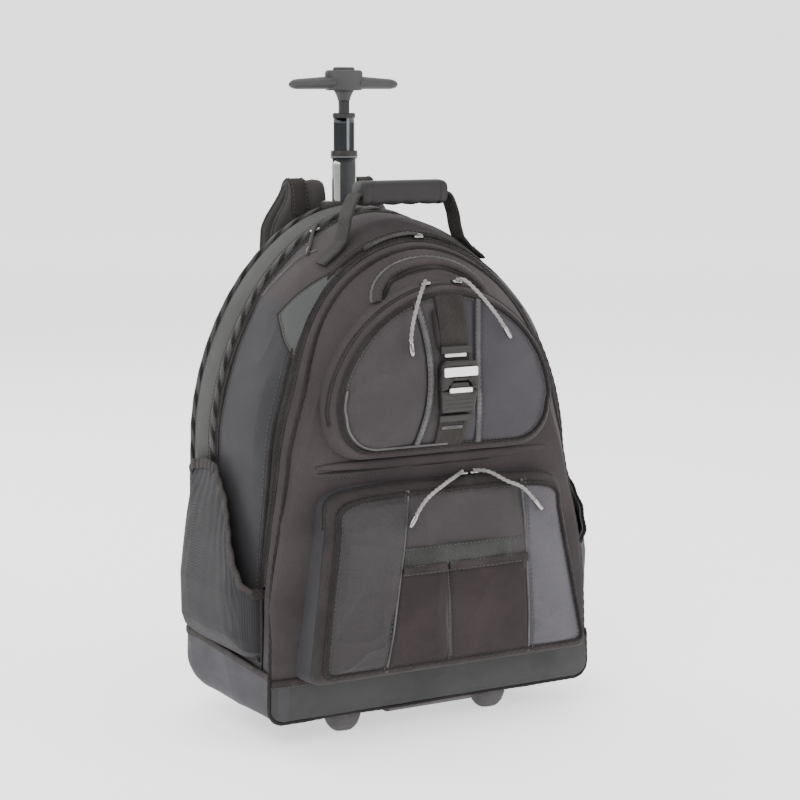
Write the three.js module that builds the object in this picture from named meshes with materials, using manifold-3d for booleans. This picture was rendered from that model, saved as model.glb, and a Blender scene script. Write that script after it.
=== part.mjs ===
// A wheeled laptop backpack that stands on two wheels and two feet, with its pull handle part way out.
// Units are millimetres. +Z is up, the front faces -Y and the straps are at +Y.
import * as THREE from 'three';
import { mergeVertices } from 'three/addons/utils/BufferGeometryUtils.js';
import Module from 'manifold-3d';

const wasm = await Module();
wasm.setup();

// Gap between pieces that are sewn, pressed or slid together
const fit = 0.3;

// Corners closer than this to the surface round them are left out of a cut solid
const detail = 0.1;

// Padded body, whose outline is an arch in the XZ plane
const bodyHalfWidth = 175;
const bodySpringHalf = 168;
const bodyFoot = 28;
const bodySpring = 268;
const bodyRise = 224;
const bodyTop = bodySpring + bodyRise;
const bodyArchPower = 1.85;
const bodyCorner = 12;
const bodyBack = 88;
const bodyFront = -103;
const bodyWall = 3;
const bodyBackEdge = 22;
const heelRadius = 50;
const heelReach = 150;
const sideTaper = 34;
const sideBevel = 43;
const taperStart = 130;
const taperEnd = 320;
const topTaper = 50;
const topBevel = 75;
const topFall = 17;
const frontCrown = 8;
const bevelPower = 1.6;

// Zips that run over the body's arch
const zipWidth = 5;
const zipProud = 1.2;
const zipDepth = 2;
const rearZipY = 18;
const frontZipY = -84;
const frontZipLean = 22;
const frontZipLeanStart = 335;
const bodyZipEnd = 150;

// Padded wall between the laptop compartment and the main one
const dividerY = 6;
const dividerThickness = 3;

// Coated panel round the base
const trayThickness = 2.5;
const trayFrontTop = 64;
const traySideTop = 78;

// Upper front pocket, a dome
const upperHalf = 120;
const upperSpringHalf = 122;
const upperFoot = 268;
const upperSpring = 312;
const upperRise = 114;
const upperCorner = 36;
const upperRim = -125;
const upperEdge = 8;
const upperCrown = 15;
const upperZipY = -116.5;
const upperZipEnd = 300;
const pocketWall = 2;

// Lower front pocket, a box that is deeper at its foot
const lowerHalf = 150;
const lowerTopHalf = 128;
const lowerFoot = 67;
const lowerTop = 243;
const lowerCorner = 30;
const lowerRim = -132;
const lowerLean = 16;
const lowerEdge = 9;
const lowerCrown = 6;
const lowerZipY = -119;
const lowerZipEnd = 205;

// Slip pockets and the webbing band above them, on the lower pocket's face
const slipThickness = 2.2;
const slipTopLeft = -60;
const slipFootLeft = -78;
const slipRight = 79;
const slipSeam = -11;
const slipFoot = 74;
const slipTop = 166;
const slipSeamGap = 1.6;
const bandHeight = 20;

// Raised rim of the small stash pocket above the dome
const stashHalf = 64;
const stashFoot = 404;
const stashTop = 447;
const stashRim = 8;
const stashThickness = 5;

// Webbing and side release buckle down the dome
const strapWidth = 30;
const strapThickness = 2;
const strapTop = 418;
const strapFoot = 275;
const buckleWidth = 40;
const buckleTop = 357;
const buckleMiddle = 331;
const buckleFoot = 311;
const buckleThickness = 9;

// Gathered pockets on the sides
const sideFoot = 82;
const sideFront = -84;
const sideBack = 58;
const sideLow = 152;
const sideHigh = 256;
const sidePeak = -8;
const sideBulge = 34;
const sideMouth = 12;
const sideWall = 1.6;
const sideBackGap = 4;
const hemHeight = 9;
const hemThickness = 1.8;

// Moulded carry handle on top
const gripHalf = 46;
const gripHeight = 24;
const gripDepth = 26;
const gripY = -40;
const gripRise = 4;
const gripFoot = bodyTop + gripRise;
const legWidth = 24;
const legThickness = 3;
const legSpread = 62;
const legFootLength = 22;

// Back pad and shoulder straps
const backPadHalf = 118;
const backPadFoot = 112;
const backPadTop = 428;
const backPadThickness = 9;
const backPadCorner = 34;
const harnessWidth = 60;
const harnessThickness = 10;
const harnessInner = 9;
const harnessFold = 21;
const harnessTop = bodyTop + harnessFold;
const harnessFoot = 205;
const harnessBow = 13;
const webbingWidth = 24;
const webbingThickness = 2;
const ladderWidth = 32;
const ladderHeight = 26;
const ladderThickness = 6;
const tabX = 118;
const tabZ = 92;
const tabSize = 44;
const tabThickness = 3;

// Guide tube in the body and the three stages of the pull handle that slide in it
const poleY = 70;
const guideWall = 1.6;
const slideGap = 0.5;
const tubeWall = 1.2;
const stageOneHalfWidth = 13;
const stageOneHalfDepth = 9;
const guideHalfWidth = stageOneHalfWidth + slideGap + guideWall;
const guideHalfDepth = stageOneHalfDepth + slideGap + guideWall;
const guideFoot = bodyFoot + roundOver(bodyBack - poleY - guideHalfDepth, heelRadius) + 2.5 * bodyWall;
const stageTwoHalfWidth = stageOneHalfWidth - tubeWall - slideGap;
const stageTwoHalfDepth = stageOneHalfDepth - tubeWall - slideGap;
const bezelHalfWidth = 27;
const bezelHalfDepth = 13.4;
const bezelProud = 3;
const bezelTop = bodyTop + bezelProud;
const bezelDepth = 16;
const stageOneShown = 42;
const stageOneTop = bezelTop + stageOneShown;
const stageOneLength = 330;
const collarHeight = 8;
const collarProud = 1.1;
const stageTwoShown = 40;
const stageTwoTop = stageOneTop + stageTwoShown;
const stageTwoLength = 300;
const stageTwoCap = 5;
const capProud = 0.8;
const rodRadius = 5.5;
const rodLength = 300;

// Pull handle's grip and its release button
const rodShown = 17;
const neckHeight = 10;
const teeNeckFoot = stageTwoTop + rodShown;
const teeFoot = teeNeckFoot + neckHeight;
const teeHalf = 61;
const teeHeight = 14;
const teeEndHeight = 9.5;
const teeEndDepth = 15;
const teeDepth = 22;
const teeHubHalf = 20;
const teeHubRise = 6;
const buttonHalfWidth = 12;
const buttonHalfDepth = 6.5;
const buttonTravel = 3;
const buttonDepth = 7;

// Wheels, their housings and the feet
const wheelRadius = 32;
const wheelWidth = 24;
const wheelX = 104;
const wheelY = 56;
const hubRadius = 21;
const axleRadius = 4;
const axleClearance = 0.6;
const wellClearance = 3;
const wellSideGap = 1.5;
const housingCheek = 6;
const housingWall = 3;
const footX = 82;
const footY = -70;
const footHalfWidth = 18;
const footHalfDepth = 14;
const skidHalf = 46;
const skidDepth = 34;
const skidDrop = 8;

// Zip pulls
const sliderWidth = 8;
const sliderLength = 11;
const sliderThickness = 3.4;
const pullWidth = 4.6;
const pullThickness = 3;

// Where each slider sits along its zip, and how its pull hangs: steps away from the zip's line, X, Y, Z
const upperLeftAt = -18;
const upperLeftHang = [[0, -0.5, 5.3], [-7, -10.5, 4.8], [-18, -19.5, -8.2], [-27, -24.5, -28.2],
  [-31, -27, -46.2], [-30, -28.5, -60.2]];
const upperRightAt = 16;
const upperRightHang = [[0, -0.5, 5], [4, -10.5, 4.5], [16, -20.5, -10.5], [32, -24, -30.5],
  [46, -23.5, -50.5]];
const lowerLeftAt = 22;
const lowerLeftHang = [[0, 0, 5], [-12, -11, 4.5], [-34, -21, -2], [-56, -25.5, -14], [-74, -27.5, -37]];
const lowerRightAt = 34;
const lowerRightHang = [[0, 0, 5], [10, -11, 4.5], [24, -21, -4], [42, -24.5, -13], [62, -26, -35]];
const rearPullAt = -60;
const rearHang = [[0, 0, 6.4], [-6, -6, 3.4], [-14, -16, -3.6], [-21, -26, -10.6], [-28, -35, -18.6]];
const frontPullAt = 6;
const frontHang = [[0, 0, 5.2], [-12, 1, 5.7], [-28, 2, 3.2], [-44, 2, -1.8], [-58, 1, -8.3]];

const clothDark = new THREE.MeshStandardMaterial({ color: 0x373334, roughness: 0.92 });
const clothGrey = new THREE.MeshStandardMaterial({ color: 0x525355, roughness: 0.88 });
const clothLight = new THREE.MeshStandardMaterial({ color: 0x6a6b70, roughness: 0.85 });
const mesh = new THREE.MeshStandardMaterial({ color: 0x565759, roughness: 0.9 });
const coated = new THREE.MeshStandardMaterial({ color: 0x4c4f4e, roughness: 0.6 });
const webbing = new THREE.MeshStandardMaterial({ color: 0x2b2a28, roughness: 0.85 });
const plastic = new THREE.MeshStandardMaterial({ color: 0x2d2d2e, roughness: 0.5 });
const gripPlastic = new THREE.MeshStandardMaterial({ color: 0x696969, roughness: 0.5 });
const aluminium = new THREE.MeshStandardMaterial({ color: 0xb4b6ba, roughness: 0.3, metalness: 1 });
const darkTube = new THREE.MeshStandardMaterial({ color: 0x4a4b4d, roughness: 0.35, metalness: 1 });
const rubber = new THREE.MeshStandardMaterial({ color: 0x2a2a2a, roughness: 0.9 });
const pullMetal = new THREE.MeshStandardMaterial({ color: 0x9a9796, roughness: 0.4, metalness: 0.8 });

// Shapes

function signedVolume(geometry) {
  const p = geometry.attributes.position;
  const index = geometry.index;
  const [a, b, c] = [new THREE.Vector3(), new THREE.Vector3(), new THREE.Vector3()];
  let sum = 0;
  for (let i = 0; i < index.count; i += 3) {
    a.fromBufferAttribute(p, index.getX(i));
    b.fromBufferAttribute(p, index.getX(i + 1));
    c.fromBufferAttribute(p, index.getX(i + 2));
    sum += a.dot(b.cross(c));
  }
  return sum;
}

// Turns every face of an indexed geometry to point outwards.
function outward(geometry) {
  if (signedVolume(geometry) < 0) {
    geometry.setIndex([...geometry.index.array].reverse());
  }
  return geometry;
}

// The same shape with shared corners, and nothing but positions.
function welded(geometry) {
  const bare = geometry.clone();
  bare.deleteAttribute('normal');
  bare.deleteAttribute('uv');
  return mergeVertices(bare, 1e-4);
}

function solid(geometry) {
  const merged = welded(geometry);
  return new wasm.Manifold(new wasm.Mesh({
    numProp: 3,
    vertProperties: new Float32Array(merged.attributes.position.array),
    triVerts: new Uint32Array(merged.index.array),
  }));
}

function geometryOf(manifold) {
  const { vertProperties, triVerts } = manifold.simplify(detail).getMesh();
  const geometry = new THREE.BufferGeometry();
  geometry.setAttribute('position', new THREE.BufferAttribute(new Float32Array(vertProperties), 3));
  geometry.setIndex(new THREE.BufferAttribute(new Uint32Array(triVerts), 1));
  return geometry;
}

// The largest body of a cut, without the slivers that a cut can leave beside it.
function mainBody(manifold) {
  return manifold.decompose().reduce((best, body) => (body.volume() > best.volume() ? body : best));
}

function mirrored(geometry) {
  return outward(welded(geometry).scale(-1, 1, 1));
}

// A closed skin through rings of equal count. Each end is capped by smaller rings pushed out to a crown.
function loft(rings, { axis, firstCrown = 0, lastCrown = 0, capRings = 3 }) {
  const cap = (ring, crown) => {
    const centre = ring.reduce((sum, p) => sum.add(p), new THREE.Vector3()).divideScalar(ring.length);
    const push = (p, share) => p.addScaledVector(axis, crown * (1 - share * share));
    const inner = [];
    for (let k = 1; k < capRings; k++) {
      const share = 1 - k / capRings;
      inner.push(ring.map((p) => push(centre.clone().lerp(p, share), share)));
    }
    return { inner, centre: push(centre.clone(), 0) };
  };
  const first = cap(rings[0], -firstCrown);
  const last = cap(rings.at(-1), lastCrown);
  const layers = [...first.inner.reverse(), ...rings, ...last.inner];
  const points = [first.centre, ...layers.flat(), last.centre];
  const count = rings[0].length;
  const index = [];
  for (let i = 0; i < count; i++) {
    const next = (i + 1) % count;
    index.push(0, 1 + i, 1 + next);
    for (let k = 0; k < layers.length - 1; k++) {
      const here = 1 + k * count;
      const there = here + count;
      index.push(here + i, there + i, there + next, here + i, there + next, here + next);
    }
    const base = 1 + (layers.length - 1) * count;
    index.push(points.length - 1, base + next, base + i);
  }
  return outward(new THREE.BufferGeometry().setFromPoints(points).setIndex(index));
}

// The same skin moved along its own normals, outwards or inwards.
function grow(geometry, distance) {
  const grown = geometry.clone();
  grown.computeVertexNormals();
  const { position, normal } = grown.attributes;
  for (let i = 0; i < position.count; i++) {
    position.setXYZ(
      i,
      position.getX(i) + normal.getX(i) * distance,
      position.getY(i) + normal.getY(i) * distance,
      position.getZ(i) + normal.getZ(i) * distance,
    );
  }
  grown.deleteAttribute('normal');
  return grown;
}

// A layer of the given thickness that lies on a skin, one fit away from it.
function layerOn(skin, thickness) {
  return solid(grow(skin, fit + thickness)).subtract(solid(grow(skin, fit)));
}

function block(x, y, z) {
  const geometry = new THREE.BoxGeometry(x[1] - x[0], y[1] - y[0], z[1] - z[0]);
  geometry.translate((x[0] + x[1]) / 2, (y[0] + y[1]) / 2, (z[0] + z[1]) / 2);
  return solid(geometry);
}

function extruded(shape, depth, curveSegments = 4) {
  return new THREE.ExtrudeGeometry(shape, { depth, bevelEnabled: false, curveSegments });
}

// A polygon or shape of the XZ plane, extruded from one Y to the other.
function prismAlongY(shape, from, to) {
  return extruded(shape, to - from).rotateX(Math.PI / 2).translate(0, to, 0);
}

// A polygon or shape of the YZ plane, extruded from one X to the other.
function prismAlongX(shape, from, to) {
  const turn = new THREE.Matrix4().makeBasis(
    new THREE.Vector3(0, 1, 0), new THREE.Vector3(0, 0, 1), new THREE.Vector3(1, 0, 0));
  return extruded(shape, to - from).applyMatrix4(turn).translate(from, 0, 0);
}

function polygon(points) {
  return new THREE.Shape(points.map(([a, b]) => new THREE.Vector2(a, b)));
}

function clamp01(value) {
  return Math.min(Math.max(value, 0), 1);
}

function smooth(value) {
  const t = clamp01(value);
  return t * t * (3 - 2 * t);
}

function mix(a, b, t) {
  return a + (b - a) * t;
}

// How far a quarter-round edge has drawn in at a distance from its face.
function roundOver(distance, radius) {
  return distance < radius ? radius - Math.sqrt(radius ** 2 - (radius - distance) ** 2) : 0;
}

// A closed arch in the XZ plane: flat foot, round corners, sides, and a superellipse over the spring line.
function archOutline({ half, springHalf, foot, spring, rise, power, corner, steps }) {
  const right = [];
  for (let i = 0; i < steps.foot; i++) right.push([((half - corner) * i) / steps.foot, foot]);
  for (let i = 0; i <= steps.corner; i++) {
    const a = (i / steps.corner) * (Math.PI / 2);
    right.push([half - corner + corner * Math.sin(a), foot + corner - corner * Math.cos(a)]);
  }
  for (let i = 1; i < steps.side; i++) {
    const t = i / steps.side;
    right.push([mix(half, springHalf, t), mix(foot + corner, spring, t)]);
  }
  for (let i = 0; i < steps.arch; i++) {
    const a = (i / steps.arch) * (Math.PI / 2);
    right.push([springHalf * Math.cos(a) ** (2 / power), spring + rise * Math.sin(a) ** (2 / power)]);
  }
  const left = right.slice(1).reverse().map(([x, z]) => [-x, z]);
  return [...right, [0, spring + rise], ...left];
}

// Height of an arch over the spring line, at a distance from its middle.
function archHeight(x, { springHalf, spring, rise, power }) {
  return spring + rise * (1 - (Math.abs(x) / springHalf) ** power) ** (1 / power);
}

// Padded body

const bodyDepth = bodyBack - bodyFront;
const bodyArch = {
  half: bodyHalfWidth, springHalf: bodySpringHalf, foot: bodyFoot, spring: bodySpring, rise: bodyRise,
  power: bodyArchPower, corner: bodyCorner, steps: { foot: 2, corner: 2, side: 4, arch: 10 },
};
const bodyOutline = archOutline(bodyArch);

// Where a point of the outline lies at a depth: the back edge and heel are rounded, the front is bevelled.
function bodyPoint([x, z], y) {
  const fromBack = bodyBack - y;
  const fromFront = y - bodyFront;
  const above = clamp01((z - bodySpring) / bodyRise);
  const taperShare = smooth((z - taperStart) / (taperEnd - taperStart));
  const backInset = roundOver(fromBack, bodyBackEdge);
  const sideInset = sideTaper * clamp01(1 - fromFront / sideBevel) ** bevelPower * taperShare;
  const topInset = topTaper * clamp01(1 - fromFront / topBevel) ** bevelPower;
  const lift = roundOver(fromBack, heelRadius) * clamp01(1 - (z - bodyFoot) / heelReach) ** 2;
  const drop = (topFall * fromBack) / bodyDepth + backInset + topInset;
  return new THREE.Vector3(x * (1 - (backInset + sideInset) / bodyHalfWidth), y, z + lift - drop * above);
}

const bodyStations = [
  ...[0, 3, 10].map((d) => bodyBack - d),
  bodyBack - bodyBackEdge,
  bodyBack - (bodyBackEdge + heelRadius) / 2,
  bodyBack - heelRadius,
  bodyFront + topBevel,
  bodyFront + (topBevel + sideBevel) / 2,
  ...[1, 0.62, 0.32, 0.1, 0].map((share) => bodyFront + sideBevel * share),
];
const bodySkin = loft(
  bodyStations.map((y) => bodyOutline.map((p) => bodyPoint(p, y))),
  { axis: new THREE.Vector3(0, -1, 0), lastCrown: frontCrown },
);
const bodyClear = solid(grow(bodySkin, fit));
const bodyOuter = solid(bodySkin);
const bodyInner = solid(grow(bodySkin, -bodyWall));
const wide = 2 * bodyHalfWidth;
const tall = 2 * bodyTop;

// A slice of the whole space between two planes square to Y, above a height.
function slab(yFrom, yTo, above = -tall) {
  return block([-wide, wide], [yFrom, yTo], [above, tall]);
}

// Wheel housings sit in recesses of the body, which has a wall round each.
const wellRadius = wheelRadius + wellClearance;
const housingHalf = wheelWidth / 2 + wellSideGap + housingCheek;
const housingFront = wheelY - wellRadius - housingWall;
const housingTop = wheelRadius + wellRadius + housingWall;

function recess(side, margin) {
  const centre = side * wheelX;
  const half = housingHalf + margin;
  return block([centre - half, centre + half], [housingFront - margin, wide], [-tall, housingTop + margin]);
}

function bothRecesses(margin) {
  return recess(-1, margin).add(recess(1, margin));
}

const ovalSteps = 10;

function ovalShape(halfWidth, halfDepth) {
  const shape = new THREE.Shape();
  shape.absellipse(0, 0, halfWidth, halfDepth, 0, Math.PI * 2);
  return shape;
}

// An upright oval bar or tube at the pole, between two heights.
function ovalBar(halfWidth, halfDepth, foot, top, wall = 0) {
  const shape = ovalShape(halfWidth, halfDepth);
  if (wall > 0) shape.holes.push(ovalShape(halfWidth - wall, halfDepth - wall));
  return extruded(shape, top - foot, ovalSteps).translate(0, poleY, foot);
}

const poleHole = solid(ovalBar(guideHalfWidth + fit, guideHalfDepth + fit, bodyTop / 2, tall));

const bodyShell = bodyOuter
  .subtract(bodyInner.subtract(bothRecesses(bodyWall)))
  .subtract(bothRecesses(0))
  .subtract(poleHole);

// A slice between two lines of the YZ plane. Each line is its points from foot to top.
function slice(rearLine, frontLine) {
  return solid(prismAlongX(polygon([...rearLine, ...[...frontLine].reverse()]), -wide, wide));
}

// A zip's middle line in the YZ plane from a height up. It leans back over the top by the amount given.
function zipLine(y, foot, lean = 0) {
  const rise = bodyTop - frontZipLeanStart;
  const bent = [0, 0.3, 0.6, 0.85, 1].map((t) => [y + lean * smooth(t), frontZipLeanStart + rise * t]);
  return [[y, foot], ...bent, [y + lean, tall]];
}

function shifted(line, by) {
  return line.map(([y, z]) => [y + by, z]);
}

// The slot that a zip lies in, and the strip that fills it.
function zipSlot(y, end, lean = 0) {
  const line = zipLine(y, end, lean);
  return slice(shifted(line, zipWidth / 2), shifted(line, -zipWidth / 2));
}

function zipStrip(skin, y, end, wall, lean = 0) {
  const half = zipWidth / 2 - fit;
  const line = zipLine(y, end + fit, lean);
  const layer = solid(grow(skin, zipProud)).subtract(solid(grow(skin, -(wall + zipDepth))));
  return mainBody(layer.intersect(slice(shifted(line, half), shifted(line, -half))));
}

const seam = fit / 2;
const frontLine = zipLine(frontZipY, -tall, frontZipLean);
const frontSlot = zipSlot(frontZipY, bodyZipEnd, frontZipLean);
const rearShell = mainBody(bodyShell.intersect(slab(rearZipY + seam, wide))
  .subtract(zipSlot(rearZipY, bodyZipEnd)));
const mainGusset = mainBody(bodyShell
  .intersect(slice([[rearZipY - seam, -tall], [rearZipY - seam, tall]], shifted(frontLine, seam)))
  .subtract(zipSlot(rearZipY, bodyZipEnd)).subtract(frontSlot));
const frontShell = mainBody(bodyShell
  .intersect(slice(shifted(frontLine, -seam), [[-wide, -tall], [-wide, tall]]))
  .subtract(frontSlot));
const divider = mainBody(solid(grow(bodySkin, -(bodyWall + fit)))
  .intersect(slab(dividerY - dividerThickness / 2, dividerY + dividerThickness / 2)));
const rearZip = zipStrip(bodySkin, rearZipY, bodyZipEnd, bodyWall).subtract(poleHole);
const frontZip = zipStrip(bodySkin, frontZipY, bodyZipEnd, bodyWall, frontZipLean);

// The base panel wraps the body's foot, higher at the sides than in front.
const trayProfile = polygon([
  [-wide, -tall], [wide, -tall], [wide, traySideTop], [0, traySideTop],
  [bodyFront * 0.6, traySideTop - 6], [bodyFront, trayFrontTop], [-wide, trayFrontTop],
]);
const baseTray = mainBody(layerOn(bodySkin, trayThickness)
  .intersect(solid(prismAlongX(trayProfile, -wide, wide)))
  .subtract(bothRecesses(0)));

// Front pockets

// An outline drawn in by the same amount at its foot, sides and top.
function drawnIn([x, z], inset, half, foot, top) {
  const middle = (foot + top) / 2;
  return [x * (1 - inset / half), middle + (z - middle) * (1 - inset / (middle - foot))];
}

// A pocket on the body's front, with a rounded rim, a crowned face and a lean outwards at its foot.
function pocketSkin({ outline, half, foot, top, rim, edge, crown, lean = 0 }) {
  const root = bodyFront + sideBevel;
  const stations = [root, bodyFront, rim + edge, rim + edge * 0.35, rim + edge * 0.08, rim];
  const rings = stations.map((y) => outline.map((p) => {
    const [x, z] = drawnIn(p, roundOver(y - rim, edge), half, foot, top);
    const forward = lean * clamp01((y - root) / (rim - root)) * (1 - (z - foot) / (top - foot));
    return new THREE.Vector3(x, y - forward, z);
  }));
  return loft(rings, { axis: new THREE.Vector3(0, -1, 0), lastCrown: crown, capRings: 3 });
}

function pocketShell(skin, zipY, zipEnd) {
  const outer = solid(skin).subtract(bodyClear);
  const inner = solid(grow(skin, -pocketWall)).subtract(solid(grow(bodySkin, fit + pocketWall)));
  return mainBody(outer.subtract(inner).subtract(zipSlot(zipY, zipEnd).subtract(
    solid(grow(skin, -(pocketWall + zipDepth + fit))))));
}

const upperTop = upperSpring + upperRise;
const upperArch = {
  half: upperHalf, springHalf: upperSpringHalf, foot: upperFoot, spring: upperSpring, rise: upperRise,
  power: bodyArchPower, corner: upperCorner, steps: { foot: 2, corner: 3, side: 1, arch: 8 },
};
const upperSkin = pocketSkin({
  outline: archOutline(upperArch),
  half: upperHalf, foot: upperFoot, top: upperTop, rim: upperRim, edge: upperEdge, crown: upperCrown,
});
const upperPocket = pocketShell(upperSkin, upperZipY, upperZipEnd);
const upperZip = mainBody(zipStrip(upperSkin, upperZipY, upperZipEnd, pocketWall).subtract(bodyClear));

const lowerArch = {
  half: lowerHalf, springHalf: lowerTopHalf, foot: lowerFoot, spring: lowerTop - lowerCorner,
  rise: lowerCorner, power: 5, corner: 8, steps: { foot: 3, corner: 2, side: 3, arch: 6 },
};
const lowerSkin = pocketSkin({
  outline: archOutline(lowerArch),
  half: lowerHalf, foot: lowerFoot, top: lowerTop, rim: lowerRim, edge: lowerEdge, crown: lowerCrown,
  lean: lowerLean,
});
const lowerPocket = pocketShell(lowerSkin, lowerZipY, lowerZipEnd);
const lowerZip = mainBody(zipStrip(lowerSkin, lowerZipY, lowerZipEnd, pocketWall).subtract(bodyClear));

// A patch on a skin's front, in the shape of an XZ polygon.
function frontPatch(skin, thickness, shape) {
  return mainBody(layerOn(skin, thickness).intersect(solid(prismAlongY(shape, -wide, bodyFront))));
}

function slipEdge(z) {
  return mix(slipFootLeft, slipTopLeft, (z - slipFoot) / (slipTop - slipFoot));
}

const slipLeft = frontPatch(lowerSkin, slipThickness, polygon([
  [slipFootLeft, slipFoot], [slipSeam - slipSeamGap / 2, slipFoot],
  [slipSeam - slipSeamGap / 2, slipTop], [slipTopLeft, slipTop],
]));
const slipRightPatch = frontPatch(lowerSkin, slipThickness, polygon([
  [slipSeam + slipSeamGap / 2, slipFoot], [slipRight, slipFoot],
  [slipRight, slipTop], [slipSeam + slipSeamGap / 2, slipTop],
]));
const bandFoot = slipTop + fit;
const bandTop = bandFoot + bandHeight;
const band = frontPatch(lowerSkin, slipThickness, polygon([
  [slipEdge(bandFoot), bandFoot], [slipRight, bandFoot], [slipRight, bandTop], [slipEdge(bandTop), bandTop],
]));

// An arch-shaped band, as points from one foot over the top to the other and back inside.
function archBand(half, foot, top, width) {
  const steps = 10;
  const arc = (a, h, low) => Array.from({ length: steps + 1 }, (_, i) => {
    const angle = (i / steps) * Math.PI;
    return [a * Math.cos(angle), low + h * Math.sin(angle)];
  });
  return polygon([...arc(half, top - foot, foot), ...arc(half - width, top - foot - width, foot).reverse()]);
}

const stashArch = prismAlongY(archBand(stashHalf, stashFoot, stashTop, stashRim), -wide, rearZipY - zipWidth);
const stashRimBody = mainBody(layerOn(bodySkin, stashThickness).intersect(solid(stashArch))
  .subtract(zipClear(frontZipY, bodyZipEnd, frontZipLean))
  .subtract(solid(grow(upperSkin, fit + zipProud))));

function strapPatch(zFrom, zTo) {
  const half = strapWidth / 2;
  const shape = polygon([[-half, zFrom], [half, zFrom], [half, zTo], [-half, zTo]]);
  return frontPatch(upperSkin, strapThickness, shape);
}

const strapUpper = strapPatch(buckleMiddle + fit, strapTop);
const strapLower = strapPatch(strapFoot, buckleMiddle - fit);

// Buckle halves lie on the webbing: the socket above, the plug below with its two side arms.
const buckleSeat = grow(upperSkin, fit + strapThickness);

function buckleSocket() {
  const half = buckleWidth / 2;
  return frontPatch(buckleSeat, buckleThickness, polygon([
    [-half, buckleMiddle + fit], [-half + 7, buckleMiddle + fit], [-half + 9, buckleMiddle + 8],
    [half - 9, buckleMiddle + 8], [half - 7, buckleMiddle + fit], [half, buckleMiddle + fit],
    [half, buckleTop - 4], [half - 4, buckleTop], [-half + 4, buckleTop], [-half, buckleTop - 4],
  ]));
}

function bucklePlug() {
  const half = buckleWidth / 2;
  return frontPatch(buckleSeat, buckleThickness - 1.5, polygon([
    [-half + 3, buckleFoot], [half - 3, buckleFoot], [half - 1, buckleMiddle - 6], [half, buckleMiddle - fit],
    [half - 8, buckleMiddle - fit], [half - 10, buckleMiddle + 7], [-half + 10, buckleMiddle + 7],
    [-half + 8, buckleMiddle - fit], [-half, buckleMiddle - fit], [-half + 1, buckleMiddle - 6],
  ]));
}

// Side pockets, built on the left and mirrored

// The pocket's outline in the YZ plane: its mouth falls from the peak to the front edge.
const sideOutline = [
  [sideBack, sideFoot], [sideBack + 4, mix(sideFoot, sideHigh, 0.35)],
  [sideBack, mix(sideFoot, sideHigh, 0.75)],
  [sideBack - 10, sideHigh], [mix(sideBack, sidePeak, 0.6), sideHigh + 5], [sidePeak, sideHigh + 4],
  [mix(sidePeak, sideFront, 0.3), mix(sideHigh, sideLow, 0.22)],
  [mix(sidePeak, sideFront, 0.6), mix(sideHigh, sideLow, 0.55)],
  [sideFront, sideLow], [sideFront - 3, mix(sideFoot, sideLow, 0.5)], [sideFront, sideFoot],
  [mix(sideFront, sideBack, 0.33), sideFoot - 3], [mix(sideFront, sideBack, 0.66), sideFoot - 3],
];

// How far the gathered cloth stands out at a height: most near its foot, least at the hem.
const bulgeRows = [
  { height: 0, out: 0.62 }, { height: 0.12, out: 0.96 }, { height: 0.35, out: 1 },
  { height: 0.6, out: 0.75 }, { height: 0.85, out: 0.42 }, { height: 1.1, out: 0.3 },
];

function bulgeAt(z) {
  const share = (z - sideFoot) / (sideHigh - sideFoot);
  const at = bulgeRows.findIndex((row) => row.height >= share);
  if (at <= 0) return bulgeRows[0].out;
  const [a, b] = [bulgeRows[at - 1], bulgeRows[at]];
  return mix(a.out, b.out, (share - a.height) / (b.height - a.height));
}

function sideSkin() {
  const middleY = (sideFront + sideBack) / 2;
  const middleZ = (sideFoot + sideHigh) / 2;
  const layers = [
    { out: -0.6, draw: 1 }, { out: 0.45, draw: 1 }, { out: 0.8, draw: 0.92 }, { out: 0.96, draw: 0.76 },
  ];
  const rings = layers.map(({ out, draw }) => sideOutline.map(([y, z]) => new THREE.Vector3(
    -bodySpringHalf - sideMouth * 0.4 - out * (sideBulge - sideMouth * 0.4) * bulgeAt(z),
    mix(middleY, y, draw),
    mix(middleZ, z, draw),
  )));
  return loft(rings, { axis: new THREE.Vector3(-1, 0, 0), lastCrown: 4 });
}

const sidePocketSkin = sideSkin();
const mouthPoints = sideOutline.slice(3, 9);
const sideMouthCut = solid(prismAlongX(polygon([
  ...mouthPoints.map(([y, z]) => [y, z - hemHeight / 2]),
  [mouthPoints.at(-1)[0] - wide, mouthPoints.at(-1)[1]], [-wide, tall], [wide, tall],
  [mouthPoints[0][0] + wide, mouthPoints[0][1]],
]), -wide, 0));

// The zips stand proud of the body, so what lies over them keeps off their strips.
function zipClear(y, end, lean = 0) {
  const line = zipLine(y, end, lean);
  const half = zipWidth / 2 + fit;
  return solid(grow(bodySkin, zipProud + fit)).intersect(slice(shifted(line, half), shifted(line, -half)));
}

const bodyAndZips = bodyClear.add(zipClear(rearZipY, bodyZipEnd))
  .add(zipClear(frontZipY, bodyZipEnd, frontZipLean));
const sidePocketWhole = solid(sidePocketSkin).subtract(bodyAndZips);
const sidePocketCavity = solid(grow(sidePocketSkin, -sideWall)).subtract(solid(grow(bodySkin, sideBackGap)));
const sidePocket = mainBody(sidePocketWhole.subtract(sidePocketCavity).subtract(sideMouthCut));

// The elastic hem follows the mouth outside the pocket's wall, below the edge of the cut.
const hemZone = solid(prismAlongX(polygon([
  ...mouthPoints.map(([y, z]) => [y, z - hemHeight / 2 - fit]),
  ...mouthPoints.map(([y, z]) => [y, z - hemHeight * 1.5]).reverse(),
]), -wide, 0));
const sideHem = mainBody(solid(grow(sidePocketSkin, fit + hemThickness))
  .subtract(solid(grow(sidePocketSkin, fit))).intersect(hemZone).subtract(bodyAndZips));

// Carry handle

const gripTop = gripFoot + gripHeight;

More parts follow.
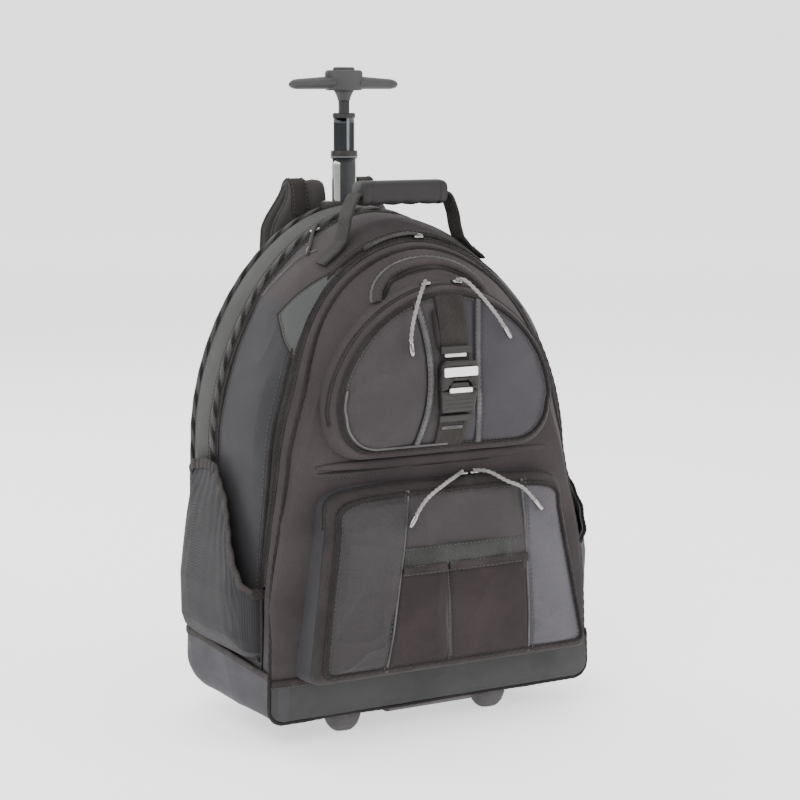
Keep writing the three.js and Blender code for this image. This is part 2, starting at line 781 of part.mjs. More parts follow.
function roundedBar(halfX, halfY, foot, top, radius) {
  const shape = new THREE.Shape();
  const [w, h] = [halfY, (top - foot) / 2];
  shape.moveTo(-w + radius, -h);
  shape.lineTo(w - radius, -h);
  shape.absarc(w - radius, -h + radius, radius, -Math.PI / 2, 0);
  shape.absarc(w - radius, h - radius, radius, 0, Math.PI / 2);
  shape.absarc(-w + radius, h - radius, radius, Math.PI / 2, Math.PI);
  shape.absarc(-w + radius, -h + radius, radius, Math.PI, Math.PI * 1.5);
  return prismAlongX(shape, -halfX, halfX).translate(0, 0, (foot + top) / 2);
}

// One leg's middle line in the XZ plane, from inside the grip down to the body.
function legLine(side) {
  return new THREE.CatmullRomCurve3([
    [gripHalf - 8, (gripFoot + gripTop) / 2], [gripHalf + 5, gripFoot + gripHeight * 0.42],
    [mix(gripHalf, legSpread, 0.8), gripFoot - 8], [legSpread, gripFoot - 26], [legSpread + 3, gripFoot - 60],
  ].map(([x, z]) => new THREE.Vector3(side * x, gripY, z)));
}

function carryHandle() {
  const bar = roundedBar(gripHalf, gripDepth / 2, gripFoot, gripTop, gripHeight * 0.4);
  const grip = solid(bar.translate(0, gripY, 0));
  const legs = [-1, 1].map((side) => {
    const band = solid(ribbonAlong(legLine(side), legWidth, legThickness, 12, new THREE.Vector3(0, 1, 0)));
    const x = [side * (legSpread - 2), side * (legSpread + legFootLength)].sort((a, b) => a - b);
    const foot = layerOn(bodySkin, legThickness)
      .intersect(block(x, [gripY - legWidth / 2, gripY + legWidth / 2], [bodySpring, tall]));
    return band.add(foot);
  });
  return mainBody(grip.add(legs[0]).add(legs[1]).subtract(bodyClear));
}

// A flat band of even width that follows a curve. Its width lies along the direction given.
function ribbonAlong(curve, width, thickness, steps, across) {
  const rings = [];
  for (let i = 0; i <= steps; i++) {
    const at = curve.getPointAt(i / steps);
    const tangent = curve.getTangentAt(i / steps);
    const out = new THREE.Vector3().crossVectors(tangent, across).normalize();
    const side = new THREE.Vector3().crossVectors(out, tangent).normalize();
    rings.push([[-1, -1], [1, -1], [1, 1], [-1, 1]].map(([a, b]) => at.clone()
      .addScaledVector(side, (a * width) / 2).addScaledVector(out, (b * thickness) / 2)));
  }
  return loft(rings, { axis: new THREE.Vector3(), capRings: 1 });
}

// Back pad and shoulder straps, built on the left and mirrored

const padSkin = (() => {
  const outline = archOutline({
    half: backPadHalf, springHalf: backPadHalf, foot: backPadFoot, spring: backPadTop - backPadCorner * 1.6,
    rise: backPadCorner * 1.6, power: 2.6, corner: backPadCorner,
    steps: { foot: 2, corner: 4, side: 2, arch: 6 },
  });
  const rings = [[0, 0], [backPadThickness * 0.5, 0], [backPadThickness * 0.85, 3], [backPadThickness, 9]]
    .map(([out, inset]) => outline.map((p) => {
      const [x, z] = drawnIn(p, inset, backPadHalf, backPadFoot, backPadTop);
      return new THREE.Vector3(x, bodyBack + fit + out, z);
    }));
  return loft(rings, { axis: new THREE.Vector3(0, 1, 0), capRings: 2 });
})();

// The padded strap leaves the top of the back, folds over above the bag and hangs down to its adjuster.
const harnessInnerRun = bodyBack + fit + harnessThickness / 2;
const harnessOuterRun = bodyBack + backPadThickness + 3 * fit + harnessThickness / 2;
const harnessMiddle = harnessInner + harnessWidth / 2;
const harnessLine = new THREE.CatmullRomCurve3([
  [harnessMiddle, harnessInnerRun, backPadTop + 6],
  [harnessMiddle, harnessInnerRun + 0.5, mix(backPadTop, harnessTop, 0.55)],
  [harnessMiddle, harnessInnerRun + 2.5, harnessTop - 12],
  [harnessMiddle, harnessInnerRun + harnessThickness * 0.85, harnessTop],
  [harnessMiddle + 1, harnessInnerRun + harnessThickness * 1.6, harnessTop - 12],
  [harnessMiddle + 3, harnessOuterRun + harnessBow * 0.8, mix(backPadTop, harnessTop, 0.4)],
  [harnessMiddle + 9, harnessOuterRun + harnessBow, mix(harnessFoot, backPadTop, 0.7)],
  [harnessMiddle + 18, harnessOuterRun + harnessBow * 0.7, mix(harnessFoot, backPadTop, 0.35)],
  [harnessMiddle + 24, harnessOuterRun + 1, harnessFoot + 20],
  [harnessMiddle + 24, harnessOuterRun + 1, harnessFoot],
].map(([x, y, z]) => new THREE.Vector3(-x, y, z)));

// A padded band with rounded edges: its section is a superellipse.
function paddedAlong(curve, width, thickness, { steps, sides, across, taper = () => 1 }) {
  const rings = [];
  for (let i = 0; i <= steps; i++) {
    const at = curve.getPointAt(i / steps);
    const tangent = curve.getTangentAt(i / steps);
    const out = new THREE.Vector3().crossVectors(tangent, across).normalize();
    const side = new THREE.Vector3().crossVectors(out, tangent).normalize();
    const half = (width / 2) * taper(i / steps);
    rings.push(Array.from({ length: sides }, (_, k) => {
      const a = ((k + 0.5) / sides) * Math.PI * 2;
      const [c, s] = [Math.cos(a), Math.sin(a)];
      return at.clone().addScaledVector(side, half * Math.sign(c) * Math.abs(c) ** 0.5)
        .addScaledVector(out, (thickness / 2) * Math.sign(s) * Math.abs(s) ** 0.6);
    }));
  }
  return loft(rings, { axis: new THREE.Vector3(), capRings: 1 });
}

const acrossX = new THREE.Vector3(1, 0, 0);
const harness = paddedAlong(harnessLine, harnessWidth, harnessThickness, {
  steps: 18, sides: 8, across: acrossX, taper: (t) => mix(1, 0.8, smooth(t)),
});
const harnessEnd = harnessLine.getPointAt(1);
const webbingY = bodyBack + backPadThickness + 2 * fit + webbingThickness / 2;
const ladderAt = new THREE.Vector3(harnessEnd.x, webbingY, harnessEnd.z - fit - ladderHeight / 2);

// The adjuster is a frame with two slots; the webbing starts at its foot.
function ladder() {
  const [w, h] = [ladderWidth / 2, ladderHeight / 2];
  const shape = polygon([[-w, -h], [w, -h], [w, h], [-w, h]]);
  [-1, 1].forEach((k) => {
    const z = k * h * 0.48;
    shape.holes.push(new THREE.Path([[-w + 3.5, z - 3], [w - 3.5, z - 3], [w - 3.5, z + 3], [-w + 3.5, z + 3]]
      .map(([x, y]) => new THREE.Vector2(x, y))));
  });
  return prismAlongY(shape, -ladderThickness / 2, ladderThickness / 2)
    .translate(ladderAt.x, ladderAt.y + ladderThickness / 2 - webbingThickness / 2, ladderAt.z);
}

const tabShape = polygon([
  [-tabX - tabSize, tabZ - tabSize * 0.3], [-tabX, tabZ - tabSize * 0.15], [-tabX, tabZ + tabSize * 0.35],
  [-tabX - tabSize, tabZ + tabSize],
]);
const tab = mainBody(layerOn(bodySkin, tabThickness)
  .intersect(solid(prismAlongY(tabShape, bodyBack - bodyBackEdge, wide))));
const webbingTop = ladderAt.clone().add(new THREE.Vector3(0, 0, -ladderHeight / 2 - fit));
const webbingEndY = bodyBack + tabThickness + 5 * fit + webbingThickness / 2;
const webbingLine = new THREE.CatmullRomCurve3([
  webbingTop,
  webbingTop.clone().add(new THREE.Vector3(0, 0, -6)),
  new THREE.Vector3(mix(webbingTop.x, -tabX, 0.45), webbingY + 1, mix(webbingTop.z, backPadFoot, 0.55)),
  new THREE.Vector3(-tabX - 2, webbingY, backPadFoot + 4),
  new THREE.Vector3(-tabX - 9, webbingEndY, tabZ + 14),
  new THREE.Vector3(-tabX - 14, webbingEndY, tabZ - 2),
]);
const strapWebbing = ribbonAlong(webbingLine, webbingWidth, webbingThickness, 8, acrossX);

// Guide tube and the three stages of the pull handle

const bezelHole = solid(ovalBar(guideHalfWidth + fit, guideHalfDepth + fit, 0, tall));
const bezel = mainBody(solid(ovalBar(bezelHalfWidth, bezelHalfDepth, bezelTop - bezelDepth, bezelTop))
  .subtract(bezelHole).subtract(bodyClear));
const guideTube = ovalBar(guideHalfWidth, guideHalfDepth, guideFoot, bezelTop, guideWall);
const stageOneFoot = stageOneTop - stageOneLength;
const stageOneTube = ovalBar(stageOneHalfWidth, stageOneHalfDepth, stageOneFoot, stageOneTop, tubeWall);
const collar = ovalBar(stageOneHalfWidth + collarProud, stageOneHalfDepth + collarProud,
  stageOneTop - fit, stageOneTop + collarHeight, collarProud + tubeWall);
const stageOne = solid(stageOneTube).add(solid(collar));
const stageTwoFoot = stageTwoTop - stageTwoLength;
const stageTwoTube = ovalBar(stageTwoHalfWidth, stageTwoHalfDepth, stageTwoFoot, stageTwoTop, tubeWall);
const stageTwoLid = ovalBar(stageTwoHalfWidth + capProud, stageTwoHalfDepth + capProud,
  stageTwoTop - fit, stageTwoTop + stageTwoCap);
const stageTwo = solid(stageTwoTube)
  .add(solid(stageTwoLid).subtract(solid(rod(0, tall, rodRadius + slideGap))));

// A round upright bar at the pole, between two heights.
function rod(foot, top, radius, topRadius = radius) {
  return new THREE.CylinderGeometry(topRadius, radius, top - foot, 16).rotateX(Math.PI / 2)
    .translate(0, poleY, (foot + top) / 2);
}

const teeTop = teeFoot + teeHeight;
const hubTop = teeTop + teeHubRise;
const buttonFoot = hubTop + buttonTravel - buttonDepth;

// The grip's wings are oval bars that get slimmer towards their round ends.
function teeWings() {
  const centre = (teeFoot + teeTop) / 2;
  const stations = [0, 0.35, 0.7, 0.87, 0.95, 0.99].flatMap((share) => (share ? [-share, share] : [0]))
    .sort((a, b) => a - b);
  const rings = stations.map((share) => {
    const out = Math.abs(share);
    const end = Math.sqrt(1 - clamp01((out - 0.85) / 0.15) ** 2);
    const height = (mix(teeHeight, teeEndHeight, out) / 2) * end;
    const depth = (mix(teeDepth, teeEndDepth, out) / 2) * end;
    return Array.from({ length: 14 }, (_, i) => {
      const a = (i / 14) * Math.PI * 2;
      return new THREE.Vector3(share * teeHalf, poleY + depth * Math.cos(a), centre + height * Math.sin(a));
    });
  });
  const crown = 0.01 * teeHalf;
  return loft(rings, { axis: acrossX, firstCrown: crown, lastCrown: crown, capRings: 1 });
}

function teeHandle() {
  const wings = teeWings();
  const hub = ovalBar(teeHubHalf, teeDepth / 2 + 1, teeFoot, hubTop);
  const neck = rod(teeNeckFoot, teeFoot + fit, rodRadius + 0.8, teeDepth * 0.42);
  const pocket = ovalBar(buttonHalfWidth + fit, buttonHalfDepth + fit, buttonFoot - buttonTravel - fit, tall);
  return solid(wings).add(solid(hub)).add(solid(neck))
    .add(solid(rod(teeNeckFoot - rodLength, teeNeckFoot + fit, rodRadius)))
    .subtract(solid(pocket));
}

const button = ovalBar(buttonHalfWidth, buttonHalfDepth, buttonFoot, buttonFoot + buttonDepth);

// Wheels and their housings, built on the left and mirrored

function cylinderAlongX(x, y, z, radius, width, segments) {
  return new THREE.CylinderGeometry(radius, radius, width, segments).rotateZ(Math.PI / 2).translate(x, y, z);
}

function wheel() {
  const tread = wheelRadius - 4;
  const half = wheelWidth / 2;
  const bore = axleRadius + axleClearance;
  const profile = [
    [bore, -half + 1], [hubRadius, -half + 1], [hubRadius + 2, -half], [tread, -half],
    [wheelRadius, -half + 4], [wheelRadius, half - 4],
    [tread, half], [hubRadius + 2, half], [hubRadius, half - 1], [bore, half - 1],
    [bore, -half + 1],
  ];
  const turned = new THREE.LatheGeometry(profile.map(([r, h]) => new THREE.Vector2(r, h)), 24);
  return outward(welded(turned).rotateZ(Math.PI / 2).translate(-wheelX, wheelY, wheelRadius));
}

function housing() {
  const limit = solid(grow(bodySkin, trayThickness + fit));
  const well = wheelWidth / 2 + wellSideGap;
  const hole = solid(cylinderAlongX(-wheelX, wheelY, wheelRadius, wellRadius, 2 * well, 32));
  const half = housingHalf - fit;
  const shell = block([-wheelX - half, -wheelX + half], [housingFront + fit, wide], [-tall, housingTop - fit])
    .intersect(limit)
    .subtract(hole)
    .subtract(block([-wheelX - well, -wheelX + well], [wheelY - wellRadius, wide], [-tall, wheelRadius]))
    .subtract(block([-wheelX - well, -wheelX + well], [wheelY, wide], [-tall, wheelRadius + wellRadius]));
  const axle = solid(cylinderAlongX(-wheelX, wheelY, wheelRadius, axleRadius, 2 * well + housingCheek, 16));
  return mainBody(shell.add(axle));
}

// Feet and skid

const underside = bodyFoot - trayThickness - 2 * fit;

function footPiece(x) {
  const rows = [[underside, 1], [underside * 0.55, 0.97], [underside * 0.25, 0.82], [underside * 0.08, 0.64],
    [0, 0.5]];
  const rings = rows.map(([z, share]) => Array.from({ length: 16 }, (_, i) => {
    const a = (i / 16) * Math.PI * 2;
    const [c, s] = [Math.cos(a), Math.sin(a)];
    return new THREE.Vector3(
      x + footHalfWidth * share * Math.sign(c) * Math.abs(c) ** 0.7,
      footY + footHalfDepth * share * Math.sign(s) * Math.abs(s) ** 0.7,
      z,
    );
  }));
  return loft(rings, { axis: new THREE.Vector3(0, 0, -1), capRings: 1 });
}

function skid() {
  const top = underside;
  const foot = top - skidDrop;
  const [near, far] = [bodyFront + 2, bodyFront + skidDepth];
  const side = polygon([[near, top], [near + 4, foot + 1.5], [near + 9, foot], [far - 12, foot], [far, top]]);
  return prismAlongX(side, -skidHalf, skidHalf);
}

// Zip sliders with their pulls

// A slider straddles its zip at a point, and its pull hangs along a path that keeps off what it lies on.
function zipPull(skin, seat, hang, keepOff) {
  const { x, y, z } = seat;
  const reach = sliderLength / 2;
  const half = sliderWidth / 2;
  const saddle = solid(grow(skin, zipProud + fit + sliderThickness))
    .subtract(solid(grow(skin, zipProud + fit)))
    .intersect(block([x - reach, x + reach], [y - half, y + half], [z - 2 * reach, tall]));
  const line = new THREE.CatmullRomCurve3(hang.map((step) => new THREE.Vector3(...step).add(seat)));
  const across = new THREE.Vector3(0, 0.5, 1).normalize();
  const cord = solid(paddedAlong(line, pullWidth, pullThickness, { steps: 8, sides: 6, across }));
  return mainBody(saddle.add(cord).subtract(keepOff));
}

const upperClear = solid(grow(upperSkin, fit + zipProud)).add(bodyClear);
const lowerClear = solid(grow(lowerSkin, fit + zipProud)).add(bodyClear).add(upperClear);
const pocketSeat = (x, y, arch) => new THREE.Vector3(x, y, archHeight(x, arch));
const bodySeat = (x, y) => bodyPoint([x, archHeight(x, bodyArch)], y);
const upperSeatLeft = pocketSeat(upperLeftAt, upperZipY, upperArch);
const upperPullLeft = zipPull(upperSkin, upperSeatLeft, upperLeftHang, upperClear);
const upperSeatRight = pocketSeat(upperRightAt, upperZipY, upperArch);
const upperPullRight = zipPull(upperSkin, upperSeatRight, upperRightHang, upperClear);
const lowerSeatLeft = pocketSeat(lowerLeftAt, lowerZipY, lowerArch);
const lowerPullLeft = zipPull(lowerSkin, lowerSeatLeft, lowerLeftHang, lowerClear);
const lowerSeatRight = pocketSeat(lowerRightAt, lowerZipY, lowerArch);
const lowerPullRight = zipPull(lowerSkin, lowerSeatRight, lowerRightHang, lowerClear);
const rearPull = zipPull(bodySkin, bodySeat(rearPullAt, rearZipY), rearHang, bodyAndZips);
const frontPull = zipPull(bodySkin, bodySeat(frontPullAt, frontZipY + frontZipLean), frontHang, bodyAndZips);

// Assembly

const model = new THREE.Group();

function add(name, geometry, material) {
  const piece = new THREE.Mesh(geometry, material);
  piece.name = name;
  model.add(piece);
  return piece;
}

function addPair(name, geometry, material) {
  add(`${name}_left`, geometry, material);
  add(`${name}_right`, mirrored(geometry), material);
}

add('rear_shell', geometryOf(rearShell), clothGrey);
add('main_gusset', geometryOf(mainGusset), clothGrey);
add('front_shell', geometryOf(frontShell), clothDark);
add('divider', geometryOf(divider), clothDark);
add('rear_zip', geometryOf(mainBody(rearZip)), clothDark);
add('front_zip', geometryOf(frontZip), clothDark);
add('base_tray', geometryOf(baseTray), coated);
add('upper_pocket', geometryOf(upperPocket), clothGrey);
add('upper_zip', geometryOf(upperZip), clothDark);
add('lower_pocket', geometryOf(lowerPocket), clothLight);
add('lower_zip', geometryOf(lowerZip), clothDark);
add('slip_pocket_left', geometryOf(slipLeft), mesh);
add('slip_pocket_right', geometryOf(slipRightPatch), mesh);
add('webbing_band', geometryOf(band), webbing);
add('stash_rim', geometryOf(stashRimBody), clothLight);
add('strap_upper', geometryOf(strapUpper), webbing);
add('strap_lower', geometryOf(strapLower), webbing);
add('buckle_socket', geometryOf(buckleSocket()), plastic);
add('buckle_plug', geometryOf(bucklePlug()), plastic);
addPair('side_pocket', geometryOf(sidePocket), mesh);
addPair('hem', geometryOf(sideHem), webbing);
add('carry_handle', geometryOf(carryHandle()), rubber);
add('back_pad', padSkin, mesh);
addPair('harness', harness, clothDark);
addPair('webbing', strapWebbing, webbing);
addPair('ladder', ladder(), plastic);
addPair('tab', geometryOf(tab), clothDark);
add('guide_tube', guideTube, darkTube);
add('bezel', geometryOf(bezel), plastic);
add('stage_one', geometryOf(stageOne), aluminium);
add('stage_two', geometryOf(stageTwo), darkTube);
add('tee_handle', geometryOf(teeHandle()), gripPlastic);
add('release_button', button, plastic);
addPair('housing', geometryOf(housing()), plastic);
addPair('wheel', wheel(), rubber);
add('foot_left', footPiece(-footX), rubber);
add('foot_right', footPiece(footX), rubber);
add('skid', skid(), plastic);
add('pull_upper_left', geometryOf(upperPullLeft), pullMetal);
add('pull_upper_right', geometryOf(upperPullRight), pullMetal);
add('pull_lower_left', geometryOf(lowerPullLeft), pullMetal);
add('pull_lower_right', geometryOf(lowerPullRight), pullMetal);
add('pull_rear', geometryOf(rearPull), pullMetal);
add('pull_front', geometryOf(frontPull), pullMetal);

// The frame's origin is the middle of the bounding box's foot.
const box = new THREE.Box3().setFromObject(model);
model.position.set(-(box.min.x + box.max.x) / 2, -(box.min.y + box.max.y) / 2, -box.min.z);

export default model;
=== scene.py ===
"""A wheeled laptop backpack on its feet and wheels, dressed over its CAD model. Metres; +Z up, front at -Y."""

import math

import bmesh
import bpy
import numpy as np
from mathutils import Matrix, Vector


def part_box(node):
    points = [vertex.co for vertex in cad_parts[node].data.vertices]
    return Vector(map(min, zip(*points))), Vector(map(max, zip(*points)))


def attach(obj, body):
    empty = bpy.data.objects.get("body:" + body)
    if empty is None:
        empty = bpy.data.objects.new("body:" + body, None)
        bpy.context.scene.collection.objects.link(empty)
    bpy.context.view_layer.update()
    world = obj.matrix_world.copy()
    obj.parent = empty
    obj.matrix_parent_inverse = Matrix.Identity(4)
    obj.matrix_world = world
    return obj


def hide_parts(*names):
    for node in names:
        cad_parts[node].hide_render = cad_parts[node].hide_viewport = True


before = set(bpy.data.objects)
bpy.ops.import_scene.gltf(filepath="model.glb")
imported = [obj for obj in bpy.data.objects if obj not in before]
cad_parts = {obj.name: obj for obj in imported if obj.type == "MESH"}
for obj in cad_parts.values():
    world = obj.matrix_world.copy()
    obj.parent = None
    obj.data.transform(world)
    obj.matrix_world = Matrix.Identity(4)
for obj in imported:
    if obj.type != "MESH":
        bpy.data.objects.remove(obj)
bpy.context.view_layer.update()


def low(node):
    """The lowest corner of a CAD node's box."""
    return np.array(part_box(node)[0])


def high(node):
    """Its highest corner."""
    return np.array(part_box(node)[1])


# Sizes that the CAD model gives

BACK = high("rear_shell")[1]
FOOT = low("rear_shell")[2]
BODY_DEPTH = 0.191
FRONT = BACK - BODY_DEPTH
BODY_HALF = high("main_gusset")[0]
SPRING_HALF = 0.168
SPRING = 0.268
RISE = 0.224
ARCH_POWER = 1.85
BODY_CORNER = 0.012
BACK_EDGE = 0.022
HEEL = 0.050
HEEL_REACH = 0.150
SIDE_TAPER = 0.034
SIDE_BEVEL = 0.043
TAPER_START = 0.130
TAPER_END = 0.320
TOP_TAPER = 0.050
TOP_BEVEL = 0.075
TOP_FALL = 0.017
FRONT_CROWN = 0.008
BEVEL_POWER = 1.6
CLOTH_WALL = 0.0024
REAR_ZIP = (low("rear_zip")[1] + high("rear_zip")[1]) / 2
FRONT_ZIP = low("front_zip")[1] + 0.0022
FRONT_ZIP_LEAN = 0.022
ZIP_LEAN_START = 0.335
ZIP_HALF = 0.0022
ZIP_END = 0.150
TRAY = 0.0025
TRAY_FRONT = 0.064
TRAY_SIDE = 0.078
POLE_Y = (low("stage_one")[1] + high("stage_one")[1]) / 2
FIT = 0.0003


# Numbers and grids


def clamp(value):
    """The value held between 0 and 1."""
    return np.clip(value, 0.0, 1.0)


def smooth(value):
    """3t^2 - 2t^3 of the value held between 0 and 1."""
    t = clamp(value)
    return t * t * (3 - 2 * t)


def mix(a, b, t):
    """a + (b - a) t."""
    return a + (b - a) * t


def bump(value, centre, width):
    """A bell of height 1 at the centre that falls to a third at one width from it."""
    return np.exp(-(((value - centre) / width) ** 2))


def round_over(distance, radius):
    """How far a quarter-round edge has drawn in: r - sqrt(r^2 - (r - d)^2) up to the radius, then nothing."""
    inside = np.minimum(distance, radius)
    return radius - np.sqrt(np.maximum(radius**2 - (radius - inside) ** 2, 0))


def resample(points, count, closed=False):
    """Points spaced evenly by length along a line of points."""
    line = np.vstack([points, points[:1]]) if closed else np.asarray(points, float)
    steps = np.linalg.norm(np.diff(line, axis=0), axis=1)
    run = np.concatenate([[0], np.cumsum(steps)])
    at = np.linspace(0, run[-1], count + (1 if closed else 0))
    if closed:
        at = at[:-1]
    return np.stack([np.interp(at, run, line[:, k]) for k in range(line.shape[1])], 1)


def spline(points, count):
    """A Catmull-Rom curve through the points, evenly spaced by length."""
    p = np.asarray(points, float)
    p = np.vstack([2 * p[0] - p[1], p, 2 * p[-1] - p[-2]])
    t = np.linspace(0, len(p) - 3, 24 * (len(p) - 3) + 1)
    i = np.minimum(t.astype(int), len(p) - 4)
    f = (t - i)[:, None]
    a, b, c, d = p[i], p[i + 1], p[i + 2], p[i + 3]
    curve = 0.5 * (2 * b + (c - a) * f + (2 * a - 5 * b + 4 * c - d) * f**2 + (3 * b - a - 3 * c + d) * f**3)
    return resample(curve, count)


def unit(v):
    """v / |v|."""
    return v / np.maximum(np.linalg.norm(v, axis=-1, keepdims=True), 1e-12)


def tangents(path):
    """The unit direction at each point of a path."""
    return unit(np.gradient(path, axis=0))


def grid_normals(points):
    """Cross product of a grid's two directions, pointing away from the grid's middle."""
    n = unit(np.cross(np.gradient(points, axis=0), np.gradient(points, axis=1)))
    away = points - points.reshape(-1, 3).mean(0)
    return n if (n * away).sum() > 0 else -n


def value_noise(points, size, seed=0):
    """Smooth noise from -1 to 1: random corner values of cubes of the given size, blended with 3t^2 - 2t^3."""
    q = np.asarray(points) / size + 7.13 * seed
    cell = np.floor(q).astype(np.int64)
    f = q - cell
    f = f * f * (3 - 2 * f)
    total = 0
    for corner in range(8):
        o = np.array([corner & 1, corner >> 1 & 1, corner >> 2 & 1])
        k = cell + o
        h = k[..., 0] * 73856093 ^ k[..., 1] * 19349663 ^ k[..., 2] * 83492791 ^ seed * 26544357
        h = (h ^ h >> 13) * 1274126177 & 0x7FFFFFFF
        h = (h ^ h >> 15) & 0xFFFF
        weight = np.where(o, f, 1 - f).prod(-1)
        total = total + weight * (h / 32767.5 - 1)
    return total


def creases(points, size, stretch, seed=0):
    """Thin ridges where stretched noise crosses zero: (1 - |noise|)^7."""
    warp = value_noise(points, size * 1.7, seed + 11)[..., None] * size * 0.5
    noise = value_noise((points + warp) * np.asarray(stretch), size, seed)
    return (1 - np.abs(noise)) ** 7


# Meshes


def mesh_object(name, points, faces, materials, face_material=None, uv=None, flat=False):
    """A mesh object from arrays of points and faces. uv is given for each face corner."""
    mesh = bpy.data.meshes.new(name)
    mesh.vertices.add(len(points))
    mesh.vertices.foreach_set("co", np.asarray(points, np.float32).ravel())
    sides = faces.shape[1]
    mesh.loops.add(faces.size)
    mesh.loops.foreach_set("vertex_index", faces.astype(np.int32).ravel())
    mesh.polygons.add(len(faces))
    mesh.polygons.foreach_set("loop_start", np.arange(0, faces.size, sides, dtype=np.int32))
    mesh.update(calc_edges=True)
    for material in materials:
        mesh.materials.append(material)
    if face_material is not None:
        mesh.polygons.foreach_set("material_index", face_material.astype(np.int32).ravel())
    if uv is not None:
        mesh.uv_layers.new(name="Cloth").data.foreach_set("uv", np.asarray(uv, np.float32).ravel())
    mesh.polygons.foreach_set("use_smooth", np.full(len(faces), not flat))
    mesh.validate()
    piece = bpy.data.objects.new(name, mesh)
    bpy.context.scene.collection.objects.link(piece)
    return piece


def weld(piece, distance=2e-5, recalc=False):
    """Merges points that lie together and drops the faces that this flattens."""
    made = bmesh.new()
    made.from_mesh(piece.data)
    bmesh.ops.remove_doubles(made, verts=made.verts, dist=distance)
    bmesh.ops.dissolve_degenerate(made, dist=distance / 4, edges=made.edges)
    if recalc:
        bmesh.ops.recalc_face_normals(made, faces=made.faces)
    made.to_mesh(piece.data)
    made.free()
    return piece


def grid(name, points, materials, around=False, region=None, inner=None, wall=0.0, merge=False, bevel=0.0):
    """A sheet from a grid of points. Its UV is the length run along each direction, in metres.

    inner is a point on the inner side, which the faces turn away from. wall gives the sheet a thickness inwards.
    """
    p = np.asarray(points, float)
    if around:
        p = np.concatenate([p, p[:1]])
    rows, cols = p.shape[:2]
    index = np.arange(rows * cols).reshape(rows, cols)
    quads = np.stack([index[:-1, :-1], index[1:, :-1], index[1:, 1:], index[:-1, 1:]], -1).reshape(-1, 4)
    along = np.linalg.norm(np.diff(p, axis=0), axis=2).mean(1)
    across = np.linalg.norm(np.diff(p, axis=1), axis=2).mean(0)
    u = np.concatenate([[0], np.cumsum(along)])
    v = np.concatenate([[0], np.cumsum(across)])
    uv = np.stack(np.meshgrid(u, v, indexing="ij"), -1).reshape(-1, 2)
    flat_points = p.reshape(-1, 3)
    if inner is not None:
        c = flat_points[quads]
        normal = np.cross(c[:, 1] - c[:, 0], c[:, 2] - c[:, 0])
        if (normal * (c.mean(1) - np.asarray(inner))).sum() < 0:
            quads = quads[:, ::-1]
    index_of = None
    if region is not None:
        index_of = np.asarray(region)[: rows - 1, : cols - 1].reshape(-1)
    piece = mesh_object(name, flat_points, quads, materials, index_of, uv[quads].reshape(-1, 2))
    if around or merge:
        weld(piece)
    if wall:
        solidify = piece.modifiers.new("wall", "SOLIDIFY")
        solidify.thickness = wall
        solidify.offset = -1
        solidify.use_even_offset = False
    if bevel:
        edge = piece.modifiers.new("edge", "BEVEL")
        edge.width = bevel
        edge.segments = 2
    return piece


def frames(path, up):
    """The side and outward directions at each point of a path, from a direction that is roughly outward."""
    t = tangents(path)
    up = np.broadcast_to(np.asarray(up, float), path.shape)
    side = unit(np.cross(t, up))
    return side, unit(np.cross(side, t))


def sweep(name, path, up, section, materials, caps=True, closed=False, scale=None, region=None):
    """A closed section carried along a path. section is (n, 2): across and outward. Ends close to a point."""
    side, out = frames(path, up)
    s = np.asarray(section, float)
    if s.ndim == 2:
        s = np.broadcast_to(s, (len(path), *s.shape))
    if scale is not None:
        s = s * np.asarray(scale)[:, None, None]
    rings = path[:, None] + s[..., :1] * side[:, None] + s[..., 1:] * out[:, None]
    if caps and not closed:
        first, last = rings[:1], rings[-1:]
        centre = lambda ring: np.broadcast_to(ring.mean(1, keepdims=True), ring.shape)
        rings = np.concatenate([centre(first), first, rings, last, centre(last)])
    if closed:
        rings = np.concatenate([rings, rings[:1]])
    rings = np.concatenate([rings, rings[:, :1]], 1)
    if region is not None:
        region = np.concatenate([region[:1], region[:1], region, region[-1:], region[-1:]])
    piece = grid(name, rings, materials, region=region)
    return weld(piece, recalc=True)


def circle(radius, sides=10):
    """Points (r cos a, r sin a)."""
    a = np.arange(sides) / sides * 2 * np.pi
    return np.stack([np.cos(a), np.sin(a)], 1) * radius


def rope_sections(count, length, radius, lobes=2, pitch=0.006, depth=0.16, sides=12):
    """Sections of a twisted cord: the radius is r (1 + depth cos(lobes a - 2 pi s / pitch))."""
    a = np.arange(sides) / sides * 2 * np.pi
    s = np.linspace(0, length, count)[:, None]
    r = radius * (1 + depth * np.cos(lobes * a - 2 * np.pi * s / pitch))
    return np.stack([r * np.cos(a), r * np.sin(a)], -1)


def oval(half_width, half_height, power=0.5, count=28):
    """A superellipse: x = a cos^p, z = b sin^p, with the signs kept."""
    a = (np.arange(count) + 0.5) / count * 2 * np.pi
    c, s = np.cos(a), np.sin(a)
    return np.stack([half_width * np.sign(c) * abs(c) ** power, half_height * np.sign(s) * abs(s) ** power], 1)


def length_of(path):
    """The sum of the lengths of a path's steps."""
    return np.linalg.norm(np.diff(path, axis=0), axis=1).sum()


def cord(name, path, up, radius, material, sides=10):
    """A round section carried along a path."""
    return sweep(name, path, up, circle(radius, sides), [material])


def rope(name, path, up, radius, material, pitch=0.006, depth=0.16, second=None, sides=12):
    """A twisted cord. A second finish goes to one of its two strands, where cos(2 a - 2 pi s / pitch) < -0.15."""
    count = max(int(length_of(path) / 0.0014), 12)
    line = resample(path, count)
    if np.ndim(up) == 2:
        up = resample(up, count)
    sections = rope_sections(count, length_of(line), radius, pitch=pitch, depth=depth, sides=sides)
    if second is None:
        return sweep(name, line, up, sections, [material])
    s = np.linspace(0, length_of(line), count)[:, None]
    a = np.arange(sides) / sides * 2 * np.pi
    strand = (np.cos(2 * a - 2 * np.pi * s / pitch) < -0.15).astype(int)
    return sweep(name, line, up, sections, [material, second], region=strand)


